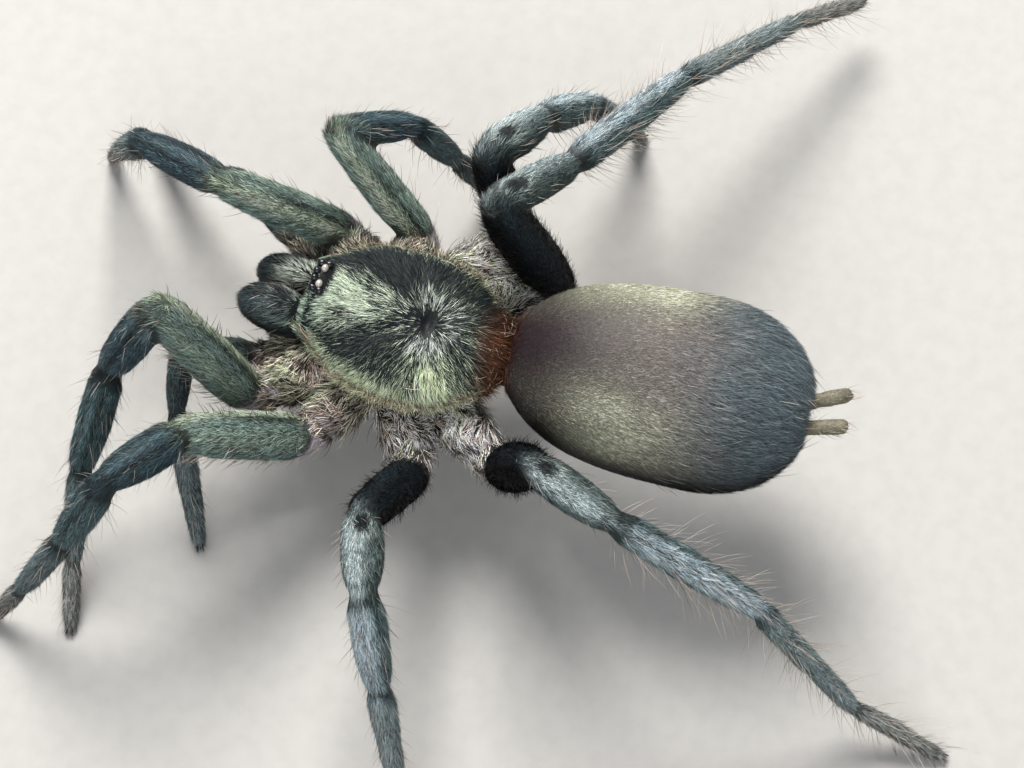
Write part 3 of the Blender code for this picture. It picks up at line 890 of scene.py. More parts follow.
@dataclass
class Carapace(Form):
    """The shield over the front half of the body."""

    name: str = "carapace"
    piece: str = "coat_carapace"
    length: float = 9.0
    width: float = 6.75
    aside: float = 0.17
    crown: float = 2.1
    rim: float = 0.45
    fovea_y: float = 1.2
    head_face_y: float = -4.3
    depth: float = 0.1

    def half_width(self, share: Array) -> Array:
        """Half width from the head's edge, share 0, to the rear edge, share 1.

        Args:
            share: Places along it, from 0 to 1.

        Returns:
            Half widths, in millimetres.
        """
        head = 0.5 + 0.32 * np.minimum(share / 0.3, 1)
        flank = 0.18 * np.sin(math.pi * np.clip((share - 0.1) / 0.95, 0, 1))
        rear, front = rounded((share - 0.56) / 0.46, 2.4), rounded((0.06 - share) / 0.14)
        return self.width / 2 * (head + flank) * rear * front

    def height(self, share: Array) -> Array:
        """Height of the ridge above the margin."""
        head = 0.88 + 0.12 * np.sin(math.pi * np.minimum(share / 0.55, 1))
        return self.crown * head * rounded((share - 0.35) / 0.68, 2.6) * rounded((0.16 - share) / 0.24)

    def share(self, b: Array) -> Array:
        """Where points of the body frame are from the head's edge, 0, to the rear edge, 1."""
        return np.clip(b[:, 1] / self.length + 0.5, 0.02, 0.985)

    def rings(self) -> list[Array]:
        """Arches over a flat underside, from the head's face to the rear edge.

        Returns:
            The rings.
        """
        made = []
        first = self.head_face_y / self.length + 0.5 + 0.015
        lean, across = np.linspace(0, math.pi, 41), np.linspace(-0.96, 0.96, 12)
        for share in np.linspace(first, 0.982, 46):
            half, high = self.half_width(share) - self.depth, self.height(share) - self.depth
            x, z = half * np.cos(lean), high * np.sin(lean)
            y = (share - 0.5) * self.length
            z = z - 0.25 * np.exp(-((x**2 + (y - self.fovea_y) ** 2) / 0.64))
            ring = np.stack([x + self.aside, np.full_like(x, y), z], 1)
            under = across * half + self.aside
            base = np.stack([under, np.full_like(under, y), np.full_like(under, -self.rim + 0.06)], 1)
            made.append(to_world(np.vstack([ring, base])))
        return made

    def polar(self, b: Array) -> tuple[Array, Array, Array]:
        """Distance and turn from the fovea, 0 ahead and pi behind, and how near the margin points are.

        Args:
            b: Points of the body frame.

        Returns:
            Distances, turns and shares of the way to the margin.
        """
        x, y = b[:, 0] - self.aside, b[:, 1] - self.fovea_y
        edge = np.abs(x) / np.maximum(self.half_width(self.share(b)), 0.3)
        return np.hypot(x, y), np.arctan2(np.abs(x), -y), edge

    def distance(self, p: Array) -> Array:
        """Rough distance from the shield.

        Args:
            p: Points.

        Returns:
            Distances, below 0 inside.
        """
        b = to_body(p)
        share = self.share(b)
        half, high = self.half_width(share) - self.depth, self.height(share) - self.depth
        over = np.abs(b[:, 1]) - self.length / 2
        x = b[:, 0] - self.aside
        q = np.sqrt((x / half) ** 2 + (np.maximum(b[:, 2], 0) / np.maximum(high, 0.3)) ** 2) - 1
        under = -self.rim - b[:, 2]
        return np.maximum(np.maximum(q * np.minimum(half, high + 0.6), under), over)

    def unwrap(self, p: Array) -> Array:
        """Flattened from above, with the flanks let out by their slope.

        Args:
            p: Points.

        Returns:
            Two shares a point.
        """
        b = to_body(p)
        lean = np.arctan2(b[:, 0], b[:, 2] + 0.8)
        return np.stack([lean / 4.2 + 0.5, b[:, 1] / (self.length + 0.4) + 0.5], 1)

    def carve(self, p: Array, n: Array) -> Array:
        """How far skin points move outwards: neck and radial furrows and the fovea's pit.

        Args:
            p: Points.
            n: Their normals.

        Returns:
            Distances, below 0 where the skin sinks.
        """
        b = to_body(p)
        r, turn, edge = self.polar(b)
        inside = ramp(0.95, 0.7, edge) * ramp(0.4, 0.9, b[:, 2])
        neck = bump(0.62, 0.1, turn) * ramp(0.6, 1.6, r) * ramp(4.6, 3.4, r) * 0.16
        rays = sum(bump(at, 0.075, turn) for at in (1.15, 1.62, 2.1))
        rays = rays * ramp(0.6, 1.3, r) * ramp(3.2, 2.4, r) * 0.09
        across = (b[:, 0] - self.aside) / 0.36
        pit = np.exp(-(across**2) - ((b[:, 1] - self.fovea_y - 0.075 * across**2) / 0.13) ** 2) * 0.28
        return -inside * (neck + rays + pit)

    def coat(self, p: Array, n: Array) -> Coat:
        """Down that rays out from the fovea, gold-green on the middle and the margins, dark between.

        Args:
            p: Points.
            n: Their normals.

        Returns:
            The coat.
        """
        b, count = to_body(p), len(p)
        r, turn, edge = self.polar(b)
        broad = noise(p, 1.1, 67)
        hand = np.sign(b[:, 0]) * 3.0
        rays = noise(np.stack([turn * 9.0, r * 0.35, hand], 1), 1.0, 71)
        fine = noise(np.stack([turn * 24.0, r * 0.6, hand], 1), 1.0, 73)
        ahead = ramp(0.9, 1.6, r) * ramp(math.pi / 2, 1.2, turn)
        middle = ramp(0.5, 0.2, turn) * ahead
        mottle = ramp(0.35, 0.65, noise(p, 0.5, 75))
        streaks = ramp(0.4, 0.7, rays) * (0.4 + 0.6 * ramp(0.3, 0.7, fine))
        glow = 0.06 + 0.28 * streaks + 0.64 * middle * (0.48 + 0.7 * mottle)
        glow = glow * (1 - 0.8 * bump(0.72, 0.24, turn) * ahead * ramp(1.02, 0.86, edge))
        # The pale star of hairs round the fovea, brightened in part as a painted glint.
        star_and_glint = bump(0.8, 0.36, r) * ramp(0.38, 0.6, fine) * (0.35 + 0.65 * ramp(0.7, 1.3, turn))
        rear_flank = bump(2.0, 0.5, turn) * ramp(0.8, 2.0, r) * (0.7 + 0.4 * fine)
        glow = glow + 0.4 * star_and_glint + 0.42 * rear_flank
        # Painted shade: the right flank is darkened where its hairs show no sheen.
        far = ramp(0.1, -1.2, b[:, 0]) * ramp(0.95, 0.8, edge) * ramp(0.7, 1.5, r)
        glow = glow * (1 - 0.95 * far)
        margin = ramp(0.68, 0.9, edge + 0.12 * (broad - 0.5)) * (0.6 + 0.5 * fine)
        # Painted shade: the margin on the right side is dimmed as well.
        margin = margin * (1 - 0.75 * ramp(-1.0, -2.2, b[:, 0]) * ramp(0.97, 0.88, edge))
        glow = np.clip(np.maximum(glow, margin * 0.76), 0, 0.95)
        fringe = ramp(0.89, 0.98, edge) * ramp(0.75, 0.35, b[:, 2])
        tan = mix(CREAM, PINKISH, ramp(0.4, 0.6, noise(p, 0.5, 79)))
        rear = ramp(2.5, 3.5, b[:, 1] - 0.35 * np.abs(b[:, 0] + 0.2))
        colour = painted((0.5, 0.58, 0.44), ((0.62, 0.72, 0.46), np.maximum(margin, rear_flank)),
                         ((0.5, 0.52, 0.53), star_and_glint * 0.85),
                         ((0.26, 0.36, 0.3), ramp(-2.4, -3.6, b[:, 1]) * 0.7),
                         (tan, fringe * 0.8), ((0.17, 0.045, 0.01), rear * 0.95))
        glow = glow * (1 - 0.55 * rear) * (1 - 0.9 * ramp(0.42, 0.2, r))
        out = np.stack([b[:, 0] - self.aside, b[:, 1] - self.fovea_y, np.zeros(count)], 1)
        out[:, 1] += 0.25 * r * ramp(1.5, 3.0, r)
        out[:, 2] -= fringe * r * 0.5
        lie = curled(on_surface(turned(out), n), n, p, 0.9, 83, 0.8)
        length = 0.5 + 0.2 * broad + 0.4 * fringe + 0.3 * rear - 0.2 * ramp(0.9, 0.3, r)
        head = ramp(-2.6, -3.6, b[:, 1])
        deep = mix((0.007, 0.011, 0.013), (0.045, 0.018, 0.008), np.maximum(rear, fringe * 0.5))
        return Coat.of(count, colour=colour, deep=deep, skin=deep * 0.6, lie=lie, glow=glow,
                       length=length * (1 - 0.35 * head), width=0.024, lift=9 + 12 * fringe + 10 * rear,
                       density=500, clump=0.3 + 0.4 * fringe)


@dataclass
class Abdomen(Form):
    """The egg-shaped rear half of the body."""

    name: str = "abdomen"
    piece: str = "coat_abdomen"
    length: float = 13.6
    width: float = 8.7
    height: float = 7.8
    centre: tuple[float, float, float] = (-0.75, 11.25, 0.85)
    swing: float = math.radians(7)
    depth: float = 0.16

    def turn(self) -> Array:
        """The swing to one side."""
        return np.array(Matrix.Rotation(self.swing, 3, "Z"))

    def girth(self, share: Array) -> Array:
        """Share of the full width from the waist, 0, to the spinnerets, 1."""
        return rounded(1 - share / 0.62, 2.8) * rounded((share - 0.62) / 0.38, 2.3)

    def local(self, p: Array) -> Array:
        """Points in the abdomen's own directions, from its middle."""
        return (to_body(p) - np.array(self.centre)) @ self.turn()

    def outwards(self, local_points: Array) -> Array:
        """The abdomen's own points in the frame of the solids."""
        return to_world(local_points @ self.turn().T + np.array(self.centre))

    def rings(self) -> list[Array]:
        """Rings from the waist end to the spinnerets, flat where the solid is.

        Returns:
            The rings.
        """
        made = []
        t = np.arange(72) * math.pi / 36
        for lean in np.linspace(0, math.pi, 60):
            share = 0.5 - 0.5 * math.cos(lean)
            y = np.clip((share - 0.5) * (self.length - 2 * self.depth), -6.3, 6.3)
            g = float(self.girth(np.array(share)))
            half, high = g * (self.width / 2 - self.depth), g * (self.height / 2 - self.depth)
            if g < 0.02:
                made.append(self.outwards(np.array([[0.0, y, 0.0]])))
                continue
            made.append(self.outwards(np.stack([half * np.cos(t), np.full_like(t, y), high * np.sin(t)], 1)))
        return made

    def distance(self, p: Array) -> Array:
        """Rough distance from the egg.

        Args:
            p: Points.

        Returns:
            Distances, below 0 inside.
        """
        q = self.local(p)
        share = np.clip(q[:, 1] / self.length + 0.5, 0.001, 0.999)
        radial = np.hypot(q[:, 0] / (self.width / 2 - self.depth), q[:, 2] / (self.height / 2 - self.depth))
        side = (radial - self.girth(share)) * (self.height / 2)
        return np.maximum(side * 0.9, np.abs(q[:, 1]) - 6.35)

    def unwrap(self, p: Array) -> Array:
        """Round and along the egg."""
        q = self.local(p)
        return np.stack([turn_share(q[:, 0], q[:, 2]), q[:, 1] / (self.length + 0.2) + 0.5], 1)

    def coat(self, p: Array, n: Array) -> Coat:
        """Charcoal velvet: purplish in front, olive patches on the shoulders, blue-grey behind.

        Args:
            p: Points.
            n: Their normals.

        Returns:
            The coat.
        """
        q, count = self.local(p), len(p)
        s = np.clip(q[:, 1] / self.length + 0.5, 0, 1)
        turn = np.abs(np.arctan2(q[:, 0] / self.width, q[:, 2] / self.height))
        broad, cloud, grain = noise(p, 2.6, 91), noise(p, 1.0, 93), noise(p, 0.18, 97)
        patch = bump(0.4 + 0.1 * (broad - 0.5), 0.2, s) * bump(1.0, 0.46, turn) * (0.85 + 0.7 * cloud)
        front, rear = ramp(0.07, 0.0, s), ramp(0.48, 0.82, s + 0.1 * (cloud - 0.5))
        colour = painted((0.042, 0.026, 0.033),
                         ((0.215, 0.187, 0.172), ramp(0.1, 0.42, s + 0.12 * (broad - 0.5))),
                         ((0.66, 0.67, 0.49), np.clip(patch, 0, 1)), ((0.115, 0.16, 0.18), rear * 0.9),
                         # painted shade: the lower flanks darkened nearly to black
                         ((0.02, 0.02, 0.019), ramp(1.05, 1.65, turn)),
                         ((0.06, 0.07, 0.075), ramp(0.9, 1.0, s) * 0.6), (RUST, front * 0.8))
        back = np.tile(np.array([[0.0, 1.0, -0.05]]), (count, 1)) @ self.turn().T
        lie = curled(on_surface(turned(back), n), n, p, 1.2, 101, 0.5)
        length = 0.24 + 0.42 * ramp(0.3, 0.95, s) + 0.1 * cloud + 0.4 * front
        return Coat.of(count, colour=colour * (0.85 + 0.3 * grain)[:, None] * 1.25,
                       deep=colour * (0.75 - 0.3 * rear)[:, None], skin=colour * 0.35, lie=lie, glow=0.5,
                       length=length, width=0.024 + 0.006 * rear, lift=10 + 7 * ramp(0.5, 1.0, s),
                       density=620 - 120 * rear, clump=0.15 + 0.25 * rear)


@dataclass
class Stub(Form):
    """A short round tube of flesh: the waist or a spinneret."""

    name: str
    piece: str
    start: Array
    end: Array
    radius: float
    colour: Colour
    hair: float
    density: float
    depth: float = 0.06

    def rings(self) -> list[Array]:
        """Rings of the stub with round ends.

        Returns:
            The rings.
        """
        shares = np.linspace(0, 1, 8)
        radii = (self.radius - self.depth) * (1 - 0.08 * bump(0.45, 0.08, shares))
        return tube(self.start + shares[:, None] * (self.end - self.start), radii, 20)

    def distance(self, p: Array) -> Array:
        """Distance from the stub.

        Args:
            p: Points.

        Returns:
            Distances, below 0 inside.
        """
        line = self.end - self.start
        s = np.clip((p - self.start) @ line / (line @ line), 0, 1)
        return np.linalg.norm(p - self.start - s[:, None] * line, axis=1) - self.radius + self.depth

    def unwrap(self, p: Array) -> Array:
        """Along and around the stub.

        Args:
            p: Points.

        Returns:
            Two shares a point.
        """
        line = unit(self.end - self.start)
        level = unit(np.cross(line, UP))
        v = p - self.start
        s = v @ line / np.linalg.norm(self.end - self.start)
        return np.stack([np.clip(s, 0, 1), turn_share(v @ level, v @ np.cross(level, line))], 1)

    def coat(self, p: Array, n: Array) -> Coat:
        """One colour of hair along the stub.

        Args:
            p: Points.
            n: Their normals.

        Returns:
            The coat.
        """
        colour = mottled(np.array(self.colour), p, 0.25, 103, 0.65, 0.7)
        lie = on_surface((self.end - self.start)[None], n)
        bare = 0.75 if self.piece == "coat_spinnerets" else 0.3
        return Coat.of(len(p), colour=colour * 1.2, deep=colour * 0.5, skin=colour * bare, lie=lie, glow=0.5,
                       length=self.hair, width=0.035, lift=16, density=self.density)


# Flesh, skin and coat


def body_forms() -> list[Form]:
    """The forms of head, body and rear, in the places of the solids.

    Returns:
        The forms, the shield first.
    """
    abdomen = Abdomen()
    seat = abdomen.outwards(np.array([[0.0, -6.5, 0.0], [0.0, 6.5, 0.0]]))
    waist = to_body(seat[:1])[0]
    waist_start, waist_end = np.array([0.0, 3.3, -1.75]), np.array([waist[0], waist[1] + 0.6, -1.35])
    forms: list[Form] = [
        Carapace(),
        EyeMound("eye_mound", "coat_head", EyeGroup.centre, EyeGroup.size, 0.04),
        Underside("underside", "coat_hips", (0, -0.4, -2.0), (7.0, 8.6, 3.4), 0.2),
        Chelicera("chelicera_left", "coat_head", (0.95, -5.5, -1.2), *JAW),
        Chelicera("chelicera_right", "coat_head", (-0.89, -5.4, -2.2), *JAW),
        abdomen,
        Stub("pedicel", "coat_hips", to_world(waist_start), to_world(waist_end), 0.9, RUST, 0.9, 110.0, 0.2),
    ]
    back = turned(abdomen.turn() @ np.array([0, 1.0, 0]))
    sideways = turned(abdomen.turn() @ np.array([1.0, 0, 0]))
    lift = turned(np.array([0.0, 0, 1.0]))
    for side, out in SIDES.items():
        root = seat[1] + (0.15 + out * 0.54) * sideways + 0.1 * lift
        ahead = unit(back + (0.13 * out - 0.38) * sideways + 0.3 * lift)
        forms.append(Stub(f"spinneret_{side}", "coat_spinnerets", root - back * 0.5, root + ahead * 1.6,
                          0.37, (0.22, 0.2, 0.14), 0.2, 45.0, 0.02))
    return forms


class EyeGroup:
    """The eight lenses on their low mound at the front of the head."""

    centre = (-0.1, -3.7, 1.62)
    size = (1.8, 1.05, 1.05)
    dark_lenses = ((0.17, -0.24, 0.34), (0.6, -0.18, 0.34), (0.64, 0.14, 0.34))
    pale_lenses = ((0.38, 0.05, 0.3),)

    def build(self, name: str, lenses: tuple[Colour, ...]) -> bpy.types.Object:
        """Makes the pairs of lenses of one kind as one piece.

        Args:
            name: The piece's name.
            lenses: Across, behind and diameter of each, on both sides of the middle.

        Returns:
            The piece.
        """
        made = []
        for (x, y, diameter), sign in itertools.product(lenses, (-1, 1)):
            lift = math.sqrt(max(1 - (2 * x / self.size[0]) ** 2 - (2 * y / self.size[1]) ** 2, 0.05))
            offset = np.array([sign * x * 0.95, y * 0.95, lift * self.size[2] / 2 * 0.9])
            out = unit(offset / np.array(self.size))
            centre = np.array(self.centre) + offset
            long = np.array([1.0, 0, 0]) if x < 0.5 else unit(np.array([0.3 * sign, 1.0, 0]))
            rings = [ring * diameter / 2 for ring in globe(17, 28)]
            if x > 0.3:
                rings = [ring + 0.22 * np.outer(ring @ long, long) for ring in rings]
            made.append(rings_mesh([to_world(ring + centre + out * 0.02) for ring in rings]))
        return make_object(name, *merged(made))


@dataclass
class Flesh:
    """Every form of flesh, and the blend of their coats."""

    forms: list[Form]

    def nearest(self, p: Array) -> tuple[Array, Array]:
        """Distance to each form, and the nearest form of each point."""
        gaps = np.stack([form.distance(p) for form in self.forms], axis=1)
        return gaps, gaps.argmin(axis=1)

    def coat(self, p: Array, n: Array) -> tuple[Coat, Array]:
        """The coat at skin points.

        Args:
            p: Points.
            n: Their normals.

        Returns:
            The coat, blended where forms meet, and the nearest form of each point.
        """
        gaps, near = self.nearest(p)
        weights = np.exp(-(gaps - gaps.min(axis=1, keepdims=True)) / BLEND_REACH)
        weights[weights < 0.03] = 0
        weights /= weights.sum(axis=1, keepdims=True)
        total = Coat.empty(len(p))
        for k, form in enumerate(self.forms):
            rows = np.flatnonzero(weights[:, k])
            if len(rows):
                total.add(rows, form.coat(p[rows], n[rows]), weights[rows, k])
        total.lie = on_surface(total.lie, n)
        return total, near


@dataclass
class Surface:
    """Points, normals and triangles of the finished skin, in millimetres."""

    points: Array
    normals: Array
    triangles: Array

    def middles(self) -> Array:
        """Middle of each triangle."""
        return self.points[self.triangles].mean(axis=1)

    def areas(self) -> Array:
        """Area of each triangle."""
        a, b, c = (self.points[self.triangles[:, k]] for k in range(3))
        return np.linalg.norm(np.cross(b - a, c - a), axis=1) / 2

    def scatter(self, rows: Array, count: int, rng: np.random.Generator) -> tuple[Array, Array]:
        """Even random places on some triangles.

        Args:
            rows: The triangles, each as often as it is wanted.
            count: How many places.
            rng: The seeded draw.

        Returns:
            Points and normals.
        """
        u, v = rng.random(count), rng.random(count)
        over = u + v > 1
        u[over], v[over] = 1 - u[over], 1 - v[over]
        share = np.stack([1 - u - v, u, v], axis=1)[:, :, None]
        corners = self.triangles[rows]
        return (self.points[corners] * share).sum(axis=1), unit((self.normals[corners] * share).sum(axis=1))


def vertex_colours(mesh: bpy.types.Mesh, name: str, colours: Array) -> None:
    """Writes one linear colour a vertex into the mesh.

    Args:
        mesh: The mesh.
        name: The layer's name.
        colours: One a vertex.
    """
    layer = mesh.color_attributes.new(name, "FLOAT_COLOR", "POINT")
    full = np.ones((len(colours), 4), np.float32)
    full[:, :3] = np.clip(colours, 0, 1)
    layer.data.foreach_set("color", full.ravel())


@dataclass
class Skin:
    """One seamless skin over all the forms of flesh."""

    flesh: Flesh
    voxel: float = SKIN_VOXEL
    rounds: int = 6

    def fused(self) -> tuple[Array, Array]:
        """Fuses the forms into one closed surface of four-sided faces, in millimetres.

        Returns:
            Points, and corners of the faces.
        """
        shapes = [rings_mesh(form.rings()) for form in self.flesh.forms]
        rough = make_object("rough_skin", *merged(shapes), 1.0)
        remesh = rough.modifiers.new("fuse", "REMESH")
        remesh.mode = "VOXEL"
        remesh.voxel_size = self.voxel
        fused = rough.evaluated_get(bpy.context.evaluated_depsgraph_get()).to_mesh()
        p = np.empty(len(fused.vertices) * 3, np.float32)
        fused.vertices.foreach_get("co", p)
        q = np.empty(len(fused.loops), np.int32)
        fused.loops.foreach_get("vertex_index", q)
        bpy.data.objects.remove(rough)
        return p.reshape(-1, 3).astype(float), q.reshape(-1, 4)

    def relaxed(self, p: Array, quads: Array) -> Array:
        """Evens out the voxel steps without shrinking the forms.

        Args:
            p: Points.
            quads: Corners of the faces.

        Returns:
            The evened points.
        """
        ends = np.vstack([quads[:, [k, (k + 1) % 4]] for k in range(4)])
        count = np.bincount(ends[:, 0], minlength=len(p))
        for step in (0.55, -0.5) * self.rounds:
            total = np.stack([np.bincount(ends[:, 0], p[ends[:, 1], k], len(p)) for k in range(3)], 1)
            p = p + (total / count[:, None] - p) * step
        return p

    def build(self) -> tuple[bpy.types.Object, Surface]:
        """Makes the skin with its markings.

        Returns:
            The piece, and the surface for the coat to grow on.
        """
        p, quads = self.fused()
        p = self.relaxed(p, quads)
        obj = make_object("skin", p, quads.tolist())
        n = self._normals(obj)
        shield = next(form for form in self.flesh.forms if isinstance(form, Carapace))
        _, near = self.flesh.nearest(p)
        own = near == self.flesh.forms.index(shield)
        p[own] += n[own] * shield.carve(p[own], n[own])[:, None]
        p[:, 2] = np.maximum(p[:, 2], FLOOR_CLEARANCE)
        obj.data.vertices.foreach_set("co", (p * MM).astype(np.float32).ravel())
        obj.data.update()
        n = self._normals(obj)
        coat, _ = self.flesh.coat(p, n)
        vertex_colours(obj.data, "markings", coat.skin)
        triangles = np.vstack([quads[:, [0, 1, 2]], quads[:, [0, 2, 3]]])
        return obj, Surface(p, n, triangles)

    @staticmethod
    def _normals(obj: bpy.types.Object) -> Array:
        """Normals at the skin's points.

        Args:
            obj: The skin.

        Returns:
            One normal a point.
        """
        n = np.empty(len(obj.data.vertices) * 3, np.float32)
        obj.data.vertices.foreach_get("normal", n)
        return n.reshape(-1, 3).astype(float)


def strip_object(name: str, points: Array, triangles: Array, colours: Array, uv: Array) -> bpy.types.Object:
    """A coat piece from many small strips, with its OFBake map.

    Args:
        name: Its name.
        points: Points, in millimetres.
        triangles: Corner indices, three a row.
        colours: One colour a point.
        uv: One place on the unwrap a point.

    Returns:
        The object.
    """
    points = points.copy()
    points[:, 2] = np.maximum(points[:, 2], FLOOR_CLEARANCE)
    mesh = bpy.data.meshes.new(name)
    mesh.vertices.add(len(points))
    mesh.vertices.foreach_set("co", (points * MM).astype(np.float32).ravel())
    mesh.loops.add(triangles.size)
    mesh.loops.foreach_set("vertex_index", triangles.astype(np.int32).ravel())
    mesh.polygons.add(len(triangles))
    mesh.polygons.foreach_set("loop_start", np.arange(0, triangles.size, 3, dtype=np.int32))
    mesh.update(calc_edges=True)
    layer = mesh.uv_layers.new(name="OFBake")
    layer.data.foreach_set("uv", uv[triangles.ravel()].astype(np.float32).ravel())
    vertex_colours(mesh, "markings", colours)
    mesh.shade_smooth()
    return linked(name, mesh)


@dataclass
class CoatGrower:
    """Grows tufts and bristles on the skin."""

    flesh: Flesh
    surface: Surface
    near: Array = field(init=False)
    density: Array = field(init=False)

    def __post_init__(self) -> None:
        """Finds which form each triangle belongs to, and how thick its coat is."""
        normal = unit(self.surface.normals[self.surface.triangles].mean(axis=1))
        coat, self.near = self.flesh.coat(self.surface.middles(), normal)
        self.density = coat.density * self.surface.areas()

    def islands(self, near: Array, p: Array) -> Array:
        """Places of points on the unwrap, each form on a strip of its own.

        Args:
            near: The form of each point.
            p: Points.

        Returns:
            Two shares a point.
        """
        pieces: dict[str, list[int]] = {}
        for k, form in enumerate(self.flesh.forms):
            pieces.setdefault(form.piece, []).append(k)
        uv = np.zeros((len(p), 2))
        for k, form in enumerate(self.flesh.forms):
            rows = np.flatnonzero(near == k)
            if not len(rows):
                continue
            group = pieces[form.piece]
            low, high = group.index(k) / len(group), (group.index(k) + 1) / len(group)
            place = np.clip(form.unwrap(p[rows]), 0.01, 0.99)
            uv[rows] = np.stack([place[:, 0], low + (high - low) * place[:, 1]], 1)
        return uv

    def places(self, weights: Array, count: int, rng: np.random.Generator) -> tuple[Array, Array]:
        """Random places on the skin, by triangle weight.

        Args:
            weights: One a triangle.
            count: How many places.
            rng: The seeded draw.

        Returns:
            Points and normals.
        """
        edges = np.cumsum(weights)
        rows = np.searchsorted(edges, rng.random(count) * edges[-1])
        return self.surface.scatter(np.minimum(rows, len(weights) - 1), count, rng)

    def tufts(self, piece: str) -> list[bpy.types.Object]:
        """The lying coat of one piece, in layers small enough to export.

        Args:
            piece: The coat piece's name.

        Returns:
            Its layers.
        """
        owned = np.array([form.piece == piece for form in self.flesh.forms])[self.near]
        weights = np.where(owned, self.density, 0)
        rng = np.random.default_rng([SEED, *piece.encode()])
        total = int(weights.sum())
        steps = TUFT_STEPS.get(piece, 1)
        limit = PIECE_LIMIT // (2 * steps - 1)
        layers = -(-total // limit)
        made = []
        for layer in range(layers):
            name = piece if layers == 1 else f"{piece}_{layer + 1}"
            made.append(self._layer(name, weights, total // layers, steps, rng))
        return made

    @staticmethod
    def _lean(p: Array, n: Array, clump: Array) -> Array:
        """How far each tuft's tip leans over to the middle of its lock.

        Args:
            p: Points.
            n: Their normals.
            clump: How far each tuft joins its lock, from 0 to 1.

        Returns:
            Offsets of the tips.
        """
        shifted = p + np.stack([noise(p, 0.5, seed) for seed in (201, 203, 207)], 1) * 0.4
        cells = np.floor(shifted / LOCK_SIZE).astype(np.int64) @ np.array([1, 4096, 16777216])
        _, lock = np.unique(cells, return_inverse=True)
        middle = np.stack([np.bincount(lock, p[:, k]) for k in range(3)], 1) / np.bincount(lock)[:, None]
        lean = (middle[lock] - p) * clump[:, None]
        return lean - dot(lean, n)[:, None] * n

    def _layer(self, name: str, weights: Array, count: int, steps: int,
               rng: np.random.Generator) -> bpy.types.Object:
        """One layer of tufts: tapered strips that bend down towards their tips.

        Args:
            name: The piece's name.
            weights: Tufts wanted on each triangle.
            count: How many tufts.
            steps: Steps along each.
            rng: The seeded draw.

        Returns:
            The piece.
        """
        p, n = self.places(weights, count, rng)
        coat, near = self.flesh.coat(p, n)
        lie = swirl(coat.lie, n, rng.normal(0, 0.1, count) * (1 + 1.5 * coat.clump))
        lean = self._lean(p, n, coat.clump) / steps
        length = coat.length * rng.uniform(0.65, 1.3, count)
        width = coat.width * rng.uniform(0.7, 1.25, count)
        lift = np.radians(coat.lift * rng.uniform(0.4, 1.6, count))
        roll = rng.normal(0, 0.45, count)
        side = np.cross(n, lie) * np.cos(roll)[:, None] + n * np.sin(roll)[:, None]
        bend = rng.normal(0, 0.1, count)
        base = self.islands(near, p)
        spots = p - n * 0.025
        points, uvs = [], []
        profile = (1.2,) if steps == 1 else (0.8, 1.0, 0.62)
        for k in range(steps + 1):
            share = k / steps
            if k:
                slope = lift * (0.65 if steps == 1 else 1.15 - share)
                way = swirl(lie, n, bend * share * 2)
                step = way * np.cos(slope)[:, None] + n * np.sin(slope)[:, None]
                spots = spots + step * (length / steps)[:, None] + lean
            if k < steps:
                half = side * (width * profile[k] / 2)[:, None]
                points += [spots - half, spots + half]
                uvs += [base + [out * UV_PATCH / 2, share * UV_PATCH] for out in (-1, 1)]
            else:
                points.append(spots)
                uvs.append(base + [0, UV_PATCH])
        bright = np.clip((coat.glow - rng.random(count)) / 0.45 + 0.5, 0, 1) * ramp(-0.02, 0.08, coat.glow)
        own = mix(coat.deep, coat.colour, bright) * rng.lognormal(0, 0.28, (count, 1))
        # Painted shade along each tuft: darker at the root, lighter towards the tip.
        root_to_tip_shading = np.repeat(np.linspace(0.6, 1.15, steps), 2).tolist() + [1.25]
        colours = np.stack([own * shade for shade in root_to_tip_shading], 1)
        last = 2 * steps
        pattern = [face for a in range(0, last - 2, 2) for face in ((a, a + 1, a + 3), (a, a + 3, a + 2))]
        pattern.append((last - 2, last - 1, last))
        return strip_object(name, np.stack(points, 1).reshape(-1, 3), repeated(pattern, last + 1, count),
                            colours.reshape(-1, 3), np.stack(uvs, 1).reshape(-1, 2))

    def bristles(self, name: str, kinds: "list[BristleKind]") -> bpy.types.Object:
        """Single long hairs, each a thin three-sided horn.

        Args:
            name: The piece's name.
            kinds: What grows where.

        Returns:
            The piece.
        """
        rng = np.random.default_rng([SEED, *name.encode()])
        middle, area = self.surface.middles(), self.surface.areas()
        parts: list[tuple[Array, Array, Array]] = []
        for kind in kinds:
            weights = np.zeros(len(area))
            for k, form in enumerate(self.flesh.forms):
                if kind.grows_on(form.name):
                    rows = np.flatnonzero(self.near == k)
                    if len(rows):
                        weights[rows] = area[rows] * kind.density * kind.share(form, middle[rows])
            count = int(weights.sum())
            if not count:
                continue
            p, n = self.places(weights, count, rng)
            coat, near = self.flesh.coat(p, n)
            lie = swirl(coat.lie, n, rng.normal(0, kind.scatter, count))
            lift = np.radians(rng.uniform(*kind.lift, count))
            length = rng.uniform(*kind.length, count)
            tint = np.array(kind.colours)[rng.integers(0, len(kind.colours), count)]
            tint = tint * rng.uniform(0.75, 1.2, (count, 1))
            base = self.islands(near, p)
            spots, points, uvs, colours = p - n * 0.04, [], [], []
            side = np.cross(n, lie)
            for k in range(HORN_STEPS + 1):
                share = k / HORN_STEPS
                slope = lift - kind.droop * share
                way = lie * np.cos(slope)[:, None] + n * np.sin(slope)[:, None]
                if k:
                    spots = spots + way * (length / HORN_STEPS)[:, None]
                across = np.cross(way, side)
                girth = kind.radius * (1 - 0.75 * share)
                for c in range(3 if k < HORN_STEPS else 1):
                    a = c * 2 * math.pi / 3
                    off = (side * math.cos(a) + across * math.sin(a)) * girth if k < HORN_STEPS else 0
                    points.append(spots + off)
